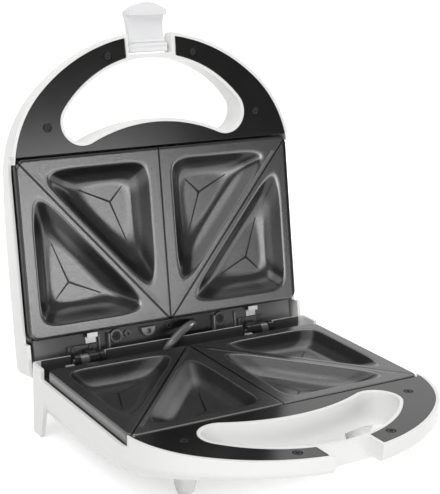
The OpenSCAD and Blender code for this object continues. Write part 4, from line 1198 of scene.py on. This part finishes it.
@dataclass
class Casing:
    """White moulded shell of one half, with its handle, finger opening, notch and slots."""

    half: Half
    outline: CasingOutline = field(default_factory=CasingOutline)
    edge_steps: int = 14
    edge_soft: float = 0.55
    inlet_r: float = 5.9
    inlet_x: float = -30.0
    inlet_d: float = 27.0
    lens_r: float = 3.9
    lens_x: float = 9.0
    lens_v: float = 120.0
    slot_room: float = 1.8
    window_half: float = 13.5
    leg_top: float = 14.0
    leg_front: float = 22.8
    leg_knee: float = 29.0
    leg_toe: float = 16.8
    heel_r: float = 5.0
    foot_x: float = 67.0
    foot_r: float = 5.4
    foot_taper: float = 0.24
    foot_flare: float = 3.2

    def form(self, name: str, skin: float, top: float) -> Solid:
        """Solid with the outer form of the casing, drawn in by skin and flat at depth top.

        Rings follow the outline while it is drawn in over a quarter circle, whose radius and depth change
        with the distance from the hinge. Strips from side to side close the back and the open face.
        """
        back = self.half.rear
        k = self.outline.count
        rim = self.outline.right(skin, back)
        r = np.maximum(edge_r(self.outline.right(0.0, back)[:, 1]) - skin, 1.2)
        rings = [np.column_stack([rim, np.full(k + 1, top)])]
        for a in np.linspace(0, math.pi / 2, self.edge_steps):
            p = self.outline.right(skin + r * (1 - math.cos(a)), back)
            rings.append(np.column_stack([p, case_d(p[:, 1]) - skin - r * (1 - math.sin(a))]))
        whole = [np.concatenate([ring, ring[:0:-1] * (-1, 1, 1)]) for ring in rings]
        n = len(whole[0])
        faces = grid_faces(len(whole), n, True).tolist()
        for base in (0, (len(whole) - 1) * n):
            faces.append([base, base + 1, base + n - 1])
            i = np.arange(1, k)
            faces += np.stack([base + i, base + i + 1, base + n - i - 1, base + n - i], axis=-1).tolist()
        return mesh_object(name, np.concatenate(whole), faces)

    def inside(self) -> list[Solid]:
        """Parts of the hollow that stay solid: the wall round the opening and the block round the notch."""
        border = S.notch_w / 2 + S.notch_border + 1
        return handle_openings(S.wall, border, S.notch_back - S.wall, -2, S.case_depth + 3)

    def extras(self) -> list[Solid]:
        """Solids that are joined on: catch, legs and feet on the base, none on the lid."""
        if self.half is Half.LID:
            return []
        return [self.catch(), *self.legs(), *self.feet()]

    def catch(self) -> Solid:
        """Edge under the base handle's opening that the latch hooks under."""
        border = S.notch_w / 2 + S.notch_border
        piece = block("catch", (-border, S.opening_top - 5, S.face_gap), (border, S.notch_back, 15.0))
        return combine(piece, [prism("gap", opening_outline(0.0), -3, 30)], "DIFFERENCE")

    def legs(self) -> list[Solid]:
        """Side walls carried down to the table at the rear corners, with a rounded rear corner each."""
        back, foot = self.half.rear, S.case_depth + S.foot_h
        a = np.linspace(0, math.pi / 2, 9)
        front, r = self.leg_front - back, self.heel_r
        heel = np.column_stack([r - back - r * np.sin(a), foot - r + r * np.cos(a)])
        toe = np.array([[front, self.leg_top], [front, self.leg_knee], [self.leg_toe - back, foot]])
        side = np.concatenate([toe, heel, [[-back, self.leg_top]]])
        made = []
        for sign in (-1, 1):
            low, high = sorted((sign * (S.half_w - 3), sign * (S.half_w + 2)))
            leg = side_prism("leg", side, low, high)
            combine(leg, [prism("edge", self.outline.whole(0.0, back), 0, foot + 2)], "INTERSECT")
            made.append(soften(leg, 0.4))
        return made

    def feet(self) -> list[Solid]:
        """Front feet: tapered posts that flare into the casing's underside."""
        v, foot = S.plate_front - 9.9, S.case_depth + S.foot_h
        under = float(case_d(np.array(v)))
        t = np.linspace(0, 1, 12)
        d = under - 1.5 + (foot - under + 1.5) * t
        r = self.foot_r + self.foot_taper * (foot - d) + self.foot_flare * np.exp(-(d - under + 2.5) / 2.2)
        r[-1] -= 0.6
        return [turned("foot", np.column_stack([r, d]), x, v) for x in (-self.foot_x, self.foot_x)]

    def cuts(self) -> list[Solid]:
        """Solids that are taken away: opening, notch, side slots, and the base's room for the hinges."""
        made = handle_openings(0.0, S.notch_w / 2, S.notch_back, -2, S.case_depth + 3)
        rear, front = S.plate_setback - self.slot_room, S.plate_front + self.slot_room
        for sign in (-1, 1):
            low, high = sorted((sign * (S.half_w - S.side_margin), sign * (S.half_w + 3)))
            made.append(block("slot", (low, rear, -2), (high, front, S.side_slot_d)))
        if self.half is Half.BASE:
            made.append(self.hinge_relief())
            for x in (-S.hinge_x, S.hinge_x):
                low = (x - self.window_half, -S.base_back - 3, -2)
                made.append(block("window", low, (x + self.window_half, 1, 14)))
        return made

    def bores(self) -> list[Solid]:
        """Round holes with sharp edges: the base's cord inlet, or the lid's lens holes and latch pin."""
        if self.half is Half.BASE:
            return [rod_v("inlet_bore", self.inlet_r, 16, self.inlet_x, -S.base_back, self.inlet_d)]
        bore = [(self.lens_r, S.case_depth - 8), (self.lens_r, S.case_depth + 3)]
        holes = [turned("lens_hole", bore, x, self.lens_v) for x in (-self.lens_x, self.lens_x)]
        length, latch = S.notch_w + 2 * S.notch_border + 3.4, Latch()
        return [*holes, rod_x("pin_bore", latch.pin_r, length, 0, latch.pin_v, latch.pin_d)]

    def hinge_relief(self) -> Solid:
        """Room for the lid's rear edge: all behind the hinge axis and outside a cylinder about it."""
        r, rise, back = S.hinge_rise - S.face_gap, S.hinge_rise, self.half.rear
        a = np.linspace(0, math.pi / 2, 10)
        arc = np.column_stack([-r * np.sin(a), rise - r * np.cos(a)])
        side = np.concatenate([[[0, -2]], arc, [[-back - 5, rise], [-back - 5, -2]]])
        return side_prism("relief", side, -S.half_w - 2, S.half_w + 2)

    def build(self, shop: Workshop) -> Solid:
        """Makes the casing, dresses it and stands it for its node."""
        name = self.half.value
        shell = self.form(f"{name}_shell", 0.0, S.face_gap)
        combine(shell, self.cuts(), "DIFFERENCE")
        soften(shell, self.edge_soft, least=0.2)
        hollow = combine(self.form("hollow", S.wall, -1.0), self.inside(), "DIFFERENCE")
        combine(shell, [hollow], "DIFFERENCE")
        combine(shell, self.extras(), "UNION")
        combine(shell, self.bores(), "DIFFERENCE")
        return shop.place(shell, self.half, WHITE_SHELL.build(), "white_shell", [f"{name}_casing"])


@dataclass
class TrimPanel:
    """Black panel set into the handle's inner face, with its screw recesses."""

    half: Half
    outline: CasingOutline = field(default_factory=CasingOutline)
    edge_soft: float = 0.4
    screws: tuple[tuple[float, float], ...] = (
        (34.5, S.opening_top + 2.1), (84.9, S.opening_end_v - 1.9),
    )

    def build(self, shop: Workshop) -> Solid:
        """Makes the panel, dresses it and stands it for its node."""
        gap = S.wall + S.part_gap
        border = S.notch_w / 2 + S.notch_border + S.part_gap
        low, high = S.face_gap, S.face_gap + S.trim_t
        panel = prism(f"{self.half.value}_trim_surface", self.outline.whole(gap, 0.0), low, high)
        cuts = handle_openings(gap, border, S.opening_top, low - 2, high + 2, 5)
        cuts.append(block("rear", (-S.half_w - 5, -20, low - 2), (S.half_w + 5, S.trim_back, high + 2)))
        recess = ((3.3, low - 1), (3.1, low + 1.3))
        cuts += [turned("recess", recess, sign * x, v) for x, v in self.screws for sign in (-1, 1)]
        combine(panel, cuts, "DIFFERENCE")
        soften(panel, self.edge_soft)
        return shop.place(panel, self.half, BLACK_TRIM.build(), "trim", [f"{self.half.value}_trim_panel"])


@dataclass
class Latch:
    """White pull-down latch: barrel on its pin, waisted tongue and a hooked, domed end."""

    width: float = 31.4
    pin_v: float = 216.5
    pin_d: float = 7.5
    barrel_r: float = 3.1
    ridge_r: float = 1.45
    ridge_gap: float = 1.75
    ridge_d: float = 5.3
    lip_r: float = 0.8
    lip_gap: float = 1.6
    pin_r: float = 1.55
    tongue_low: float = 6.0
    tongue_high: float = 10.8
    hook_v: float = 239.5
    hook_t: float = 3.7
    dome_low: float = 1.7
    dome_base: float = 243.0
    dome_top: float = 248.9
    waist: float = 1.7
    edge_soft: float = 0.7

    def tongue(self) -> Solid:
        """Flat tongue whose sides are drawn in along a half sine between the barrel and the hook."""
        t = np.linspace(0, 1, 16)
        half = self.width / 2 - self.waist * np.sin(math.pi * t) ** 0.7
        v = self.pin_v + (self.hook_v + 1 - self.pin_v) * t
        right = np.column_stack([half, v])
        left = right[::-1] * (-1, 1)
        return prism("tongue", np.concatenate([right, left]), self.tongue_low, self.tongue_high)

    def dome(self) -> Solid:
        """End of the latch: straight below, one arc above."""
        half, rise = self.width / 2, self.dome_top - self.dome_base
        r = (half**2 + rise**2) / (2 * rise)
        a = np.linspace(math.asin(half / r), -math.asin(half / r), 26)
        arc = np.column_stack([r * np.sin(a), self.dome_top - r + r * np.cos(a)])
        foot = np.array([[-half, self.hook_v + 0.8], [half, self.hook_v + 0.8]])
        return prism("dome", np.concatenate([arc, foot]), self.dome_low, self.tongue_high)

    def build(self, shop: Workshop) -> Solid:
        """Makes the latch, dresses it and stands it for its node."""
        half = self.width / 2 - 0.5
        latch = self.tongue()
        latch.name = "latch_surface"
        hook_front, hook_high = self.hook_v + self.hook_t, self.tongue_low + 2
        hook = block("hook", (-half, self.hook_v, S.face_gap + 0.4), (half, hook_front, hook_high))
        combine(latch, [self.dome(), hook], "UNION")
        soften(latch, self.edge_soft, angle=30, segments=3)
        places = (self.pin_v - self.ridge_gap, self.pin_v + self.ridge_gap)
        ridges = [rod_x("ridge", self.ridge_r, self.width - 0.8, 0, v, self.ridge_d) for v in places]
        lip_v = self.pin_v + self.barrel_r + self.lip_gap
        ridges.append(rod_x("ridge", self.lip_r, self.width - 2, 0, lip_v, self.tongue_low))
        barrel = rod_x("barrel", self.barrel_r, self.width, 0, self.pin_v, self.pin_d)
        combine(latch, [barrel, *ridges], "UNION")
        pin = rod_x("pin", self.pin_r, self.width + 2, 0, self.pin_v, self.pin_d)
        combine(latch, [pin], "DIFFERENCE")
        return shop.place(latch, Half.LID, LATCH_WHITE.build(), "white_shell", ["latch"], body="latch")


@dataclass
class LidBrackets:
    """Lid side of the hinges: grey barrel, black arm on its inner half and the flange on the deck."""

    knuckle_r: float = 4.4
    knuckle_w: float = 14.0
    arm_w: float = 7.6
    flange_half: float = 11.5
    flange_v: tuple[float, float] = (-4.0, 9.0)
    deck_d: float = 6.0

    def arm(self, x: float, inner: float) -> Solid:
        """Arm that wraps the knuckle and rises in a curve to the deck.

        Args:
            x: Middle of the hinge.
            inner: Direction of the toaster's middle, 1 or -1.
        """
        rise, r = S.hinge_rise, self.knuckle_r + 0.8
        a = np.linspace(math.radians(-160), math.radians(20), 18)
        hook = np.column_stack([r * np.cos(a), r * np.sin(a) - rise])
        top = np.array([[5.6, 0.5], [6.6, self.deck_d], [-3.4, self.deck_d], [-4.0, 0.0]])
        side = np.concatenate([hook, top])
        low, high = sorted((x + inner * self.knuckle_w / 2, x + inner * (self.knuckle_w / 2 - self.arm_w)))
        arm = side_prism("arm", side, low, high)
        return combine(arm, [self.pin(x)], "DIFFERENCE")

    def pin(self, x: float) -> Solid:
        """Bore of the hinge pin."""
        return rod_x("pin", S.hinge_pin_r, 40, x, 0, -S.hinge_rise)

    def build(self, shop: Workshop) -> None:
        """Makes the three pieces and stands them for their node."""
        parts: dict[str, list[Solid]] = {"arms": [], "barrels": [], "flanges": []}
        for side in (-1, 1):
            x = side * S.hinge_x
            parts["arms"].append(self.arm(x, -side))
            width, middle = self.knuckle_w - self.arm_w, x + side * self.arm_w / 2
            barrel = rod_x("barrel", self.knuckle_r, width, middle, 0, -S.hinge_rise)
            parts["barrels"].append(combine(barrel, [self.pin(x)], "DIFFERENCE"))
            (rear, front), high = self.flange_v, self.deck_d
            low = (x - self.flange_half, rear, high - 2)
            parts["flanges"].append(block("flange", low, (x + self.flange_half, front, high)))
        # The flanges take the deck's painted shade.
        finishes = {"arms": DARK_HINGE, "barrels": GREY_HINGE, "flanges": DeckPaintedShade()}
        for name, pair in parts.items():
            piece = combine(pair[0], pair[1:], "UNION")
            piece.name = f"lid_hinge_{name}"
            soften(piece, 0.45)
            shop.place(piece, Half.LID, finishes[name].build(), "hinge_black", ["lid_hinge_brackets"])


@dataclass
class BaseBrackets:
    """Base side of the hinges: two round ears on a flange, either side of the lid's knuckle."""

    ear_r: float = 5.3
    ear_in: float = 7.5
    ear_t: float = 4.0
    deck_d: float = 13.4
    flange_t: float = 2.0
    flange_v: tuple[float, float] = (-0.3, 13.6)

    def ear(self, x: float) -> Solid:
        """Ear from x over its thickness: a round head about the pin on a straight foot."""
        a = np.linspace(math.radians(180), math.radians(360), 22)
        head = np.column_stack([self.ear_r * np.cos(a), self.ear_r * np.sin(a) + S.hinge_rise])
        deck = self.deck_d
        foot = np.array([[self.ear_r + 0.6, deck], [self.flange_v[0], deck], [-self.ear_r * 0.8, 9.0]])
        ear = side_prism("ear", np.concatenate([head, foot]), x, x + self.ear_t)
        return combine(ear, [rod_x("pin", S.hinge_pin_r, 60, x, 0, S.hinge_rise)], "DIFFERENCE")

    def build(self, shop: Workshop) -> None:
        """Makes the ears and flanges and stands them for their node."""
        ears, flanges = [], []
        for side in (-1, 1):
            x = side * S.hinge_x
            ears += [self.ear(x - self.ear_in - self.ear_t), self.ear(x + self.ear_in)]
            half = self.ear_in + self.ear_t
            low = (x - half, self.flange_v[0], self.deck_d - self.flange_t)
            flanges.append(block("flange", low, (x + half, self.flange_v[1], self.deck_d)))
        piece = combine(flanges[0], [flanges[1], *ears], "UNION")
        piece.name = "base_hinge_ears"
        soften(piece, 0.4)
        shop.place(piece, Half.BASE, DARK_HINGE.build(), "hinge_black", ["base_hinge_brackets"])


@dataclass
class LinkCable:
    """Sleeved cable from the base's deck to the lid's."""

    base_spot: tuple[float, float] = (-11.0, 4.5)
    lid_spot: tuple[float, float] = (20.3, 10.8)
    middle: tuple[Place, ...] = (
        (-10.4, -5, -1), (-5.2, -5, 5), (4.6, -0.4, 9.4), (14.2, 5.2, 10.8),
    )
    bend_end: float = 3.6
    beside: Place = (0.2, 1.0, -0.6)
    radius: float = 3.0
    steps: int = 8
    sides: int = 24

    def on_lid(self, depth: float) -> Place:
        """Place of the lid's hole at a depth, measured from the hinge axis in millimetres."""
        a, s = math.radians(S.lid_open), depth + S.hinge_rise
        x, v = self.lid_spot
        return x, s * math.sin(a) - v * math.cos(a), v * math.sin(a) + s * math.cos(a)

    def route(self) -> Array:
        """Points that the cable passes, measured from the hinge axis in millimetres."""
        x, v = self.base_spot
        lid = [self.on_lid(depth) for depth in (self.bend_end, 8, 13)]
        return np.array([(x, -v, -15), (x, -v, -8), *self.middle, *lid], float)

    def line(self) -> Array:
        """The route as a smooth curve: a cubic through each two points with its neighbours' slopes."""
        p = self.route()
        last = len(p) - 1
        i = np.arange(last)
        a, b, c, d = p[np.maximum(i - 1, 0)], p[i], p[i + 1], p[np.minimum(i + 2, last)]
        t = (np.arange(self.steps) / self.steps)[None, :, None]
        a, b, c, d = (q[:, None, :] for q in (a, b, c, d))
        cubic = 2 * b + (c - a) * t + (2 * a - 5 * b + 4 * c - d) * t**2 + (3 * b - a - 3 * c + d) * t**3
        return np.concatenate([cubic.reshape(-1, 3) / 2, p[-1:]])

    def build(self, shop: Workshop) -> Solid:
        """Makes the cable as rings round its line, which curves from the base's deck to the lid's."""
        line = self.line()
        along = np.gradient(line, axis=0)
        along /= np.linalg.norm(along, axis=1, keepdims=True)
        side = np.cross(along, self.beside)
        side /= np.linalg.norm(side, axis=1, keepdims=True)
        top = np.cross(along, side)
        c, s = (q[None, :, None] for q in unit_circle(self.sides))
        rings = line[:, None] + self.radius * (c * side[:, None] + s * top[:, None])
        obj = loft("link_cable_sleeve", rings * MM + np.array(shop.hinge))
        dress(obj.data, SLEEVE.build(), 50)
        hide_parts("link_cable")
        start, end = (shop.hinge + Vector(p) * MM for p in (self.middle[0], self.on_lid(self.bend_end)))
        tuple(start)
        tuple(end)
        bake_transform(obj)
        return obj


@dataclass
class LidDeckDetails:
    """Ribs and bosses moulded on the lid's deck beside the hinges."""

    deck_d: float = 6.0
    rib_t: float = 1.3
    rib_front: float = 14.5
    ribs: tuple[tuple[float, float, float], ...] = (
        (-50.0, -5.0, 2.2), (38.0, -5.0, 2.6), (-57.0, -5.5, 4.4), (57.0, -5.0, 4.2),
    )
    rings: tuple[tuple[float, float, float, float], ...] = (
        (-43.5, 11.3, 5.0, 1.9), (43.5, 11.3, 5.0, 1.9), (-34.0, 11.6, 2.6, 1.2), (0.5, 12.6, 2.4, 1.0),
    )
    hole_share: float = 0.66
    boss_place: tuple[float, float] = (-18.0, 13.6)

    def ring(self, x: float, v: float, r: float, high: float) -> Solid:
        """Round collar that stands high over the deck, with a hole as wide as a screw head."""
        inner, low, top = r * self.hole_share, self.deck_d, self.deck_d - high
        collar = turned("collar", ((r + 0.3, low), (r, top)), x, v, 32)
        bore = turned("bore", ((inner, low + 1), (inner, top - 1)), x, v, 32)
        return combine(collar, [bore], "DIFFERENCE")

    def boss(self) -> Solid:
        """Half-round boss with a square hole."""
        x, v = self.boss_place
        boss = turned("boss", ((6.2, self.deck_d), (5.7, 2.6)), x, v)
        hole = block("hole", (x - 1.2, v - 4.2, 1.0), (x + 2.0, v - 1.0, 5.0))
        rest = block("rest", (x - 8, 14.4, 0), (x + 8, 24, 8))
        return combine(boss, [hole, rest], "DIFFERENCE")

    def build(self, shop: Workshop) -> None:
        """Makes the details, dresses them and ties them to the lid."""
        pieces = [self.ring(*spot) for spot in self.rings]
        pieces.append(self.boss())
        half = self.rib_t / 2
        for x, v0, top in self.ribs:
            pieces.append(block("rib", (x - half, v0, top), (x + half, self.rib_front, self.deck_d)))
        for number, piece in enumerate(pieces):
            piece.name = f"lid_deck_detail_{number}"
            soften(piece, 0.35)
            # Collars take the darker painted shade grey, the ribs and the boss the lighter one.
            finish = RING_PAINTED_SHADE if number < len(self.rings) else RIB_PAINTED_SHADE
            shop.place(piece, Half.LID, finish.build(), "frame")


@dataclass(frozen=True)
class PhotoCamera:
    """Camera at the photograph's viewing angle, measured from the plate edges and the casing."""

    yaw: float = 30.782
    pitch: float = 15.429
    roll: float = 1.109
    place: Place = (-0.439004, -0.797020, 0.325264)
    lens: float = 95.40

    def build(self, hinge: Vector) -> None:
        """Makes the camera; its place is measured from the hinge axis."""
        data = bpy.data.cameras.new("photo_camera")
        data.lens = self.lens
        data.clip_start = 0.05
        obj = new_object("photo_camera", data)
        turn = (
            Matrix.Rotation(math.radians(-self.yaw), 4, "Z")
            @ Matrix.Rotation(math.radians(90 - self.pitch), 4, "X")
            @ Matrix.Rotation(math.radians(self.roll), 4, "Z")
        )
        obj.matrix_world = Matrix.Translation(hinge + Vector(self.place)) @ turn
        bpy.context.scene.camera = obj


@dataclass(frozen=True)
class Lamp:
    """One soft lamp: where it stands, what it looks at, its two sides and its power."""

    name: str
    place: Place
    target: Place
    size: tuple[float, float]
    power: float

    def build(self) -> None:
        """Adds the lamp."""
        data = bpy.data.lights.new(self.name, "AREA")
        data.shape = "RECTANGLE"
        data.size, data.size_y = self.size
        data.energy = self.power
        obj = new_object(self.name, data)
        obj.location = self.place
        obj.rotation_mode = "QUATERNION"
        obj.rotation_quaternion = (Vector(self.target) - Vector(self.place)).to_track_quat("-Z", "Y")


@dataclass(frozen=True)
class Studio:
    """Pale floor, white surroundings and soft lamps."""

    floor_r: float = 8.0
    floor_z: float = -0.0002
    floor_level: float = 0.8
    fade: tuple[float, float] = (0.2, 0.75)
    world_level: float = 0.38
    dim_level: float = 0.07
    lamps: tuple[Lamp, ...] = (
        Lamp("key_lamp", (-1.1, -0.7, 1.5), (0.0, 0.05, 0.12), (1.7, 1.7), 17.0),
        Lamp("front_lamp", (0.18, -2.0, 0.25), (0.0, 0.1, 0.16), (1.8, 0.5), 11.0),
        Lamp("top_lamp", (0.2, 0.3, 1.9), (0.0, 0.0, 0.0), (2.0, 2.0), 11.0),
        Lamp("right_lamp", (1.5, 0.2, 0.3), (0.0, 0.05, 0.1), (0.6, 0.5), 3.5),
    )

    def floor(self) -> None:
        """Wide floor just under the feet: near the object it keeps its shadow, farther off it glows white."""
        r, z = self.floor_r, self.floor_z
        corners = np.array([[-r, -r, z], [r, -r, z], [r, r, z], [-r, r, z]])
        obj = mesh_object("floor", corners, [range(4)], close=False)
        material, n, shader = new_material("pale_floor")
        n.tree.nodes.remove(shader)
        body = n.add("ShaderNodeBsdfDiffuse", Color=(self.floor_level,) * 3 + (1,))
        ray = n.add("ShaderNodeLightPath")
        far = n.vector("LENGTH", n.add("ShaderNodeTexCoord").outputs["Object"])
        strength = n.math("MULTIPLY", self.seen(n, ray), n.step(far, *self.fade, 0.5, 1.0))
        glow = n.add("ShaderNodeEmission", Color=(1, 1, 1, 1), Strength=strength)
        both = n.add("ShaderNodeAddShader", i0=body.outputs[0], i1=glow.outputs[0])
        n.fill(n.tree.nodes["Material Output"], {"Surface": both.outputs[0]})
        obj.data.materials.append(material)

    @staticmethod
    def seen(n: Nodes, ray: Node) -> Socket:
        """1 for what the camera sees itself, mirrored or through glass, and 0 for light on a matt surface."""
        mirrored = n.math("MAXIMUM", ray.outputs["Is Glossy Ray"], ray.outputs["Is Transmission Ray"])
        return n.math("MAXIMUM", ray.outputs["Is Camera Ray"], mirrored)

    def world(self) -> None:
        """Surroundings that light softly, look white to the camera and are dim on its side of the room."""
        world = bpy.data.worlds.new("studio")
        bpy.context.scene.world = world
        world.use_nodes = True
        n = Nodes(world.node_tree)
        ray = n.add("ShaderNodeLightPath")
        way = n.add("ShaderNodeSeparateXYZ", Vector=n.add("ShaderNodeTexCoord").outputs["Generated"])
        room = n.step(way.outputs[1], -0.2, 0.6, self.dim_level, 1.0)
        mirrored = n.math("MAXIMUM", room, ray.outputs["Is Camera Ray"])
        seen = self.seen(n, ray)
        level = n.add("ShaderNodeMix", {"data_type": "FLOAT"}, i0=seen, i2=self.world_level, i3=mirrored)
        n.fill(n.tree.nodes["Background"], {"Color": (1, 1, 1, 1), "Strength": level.outputs[0]})

    def build(self) -> None:
        """Makes the floor, the surroundings and the lamps."""
        self.floor()
        self.world()
        for lamp in self.lamps:
            lamp.build()


def dress_nodes(frame: dict) -> None:
    """Gives every node its finish."""
    for name, finish in NODE_FINISHES.items():
        node = frame["nodes"][name]
        node.data.materials.clear()
        node.data.materials.append(finish.build())


def main() -> None:
    """Builds the scene in order: frame, camera, studio, finishes and pieces."""
    logging.basicConfig(level=logging.INFO, format="%(message)s")
    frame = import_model()
    scene = bpy.context.scene
    scene.view_settings.view_transform = "Standard"
    shop = Workshop(frame)
    PhotoCamera().build(shop.hinge)
    Studio().build()
    dress_nodes(frame)
    for half in Half:
        GrillPlate(half).build(shop)
        Casing(half).build(shop)
        TrimPanel(half).build(shop)
    Latch().build(shop)
    LidBrackets().build(shop)
    BaseBrackets().build(shop)
    LinkCable().build(shop)
    LidDeckDetails().build(shop)


if __name__ == "__main__":
    main()
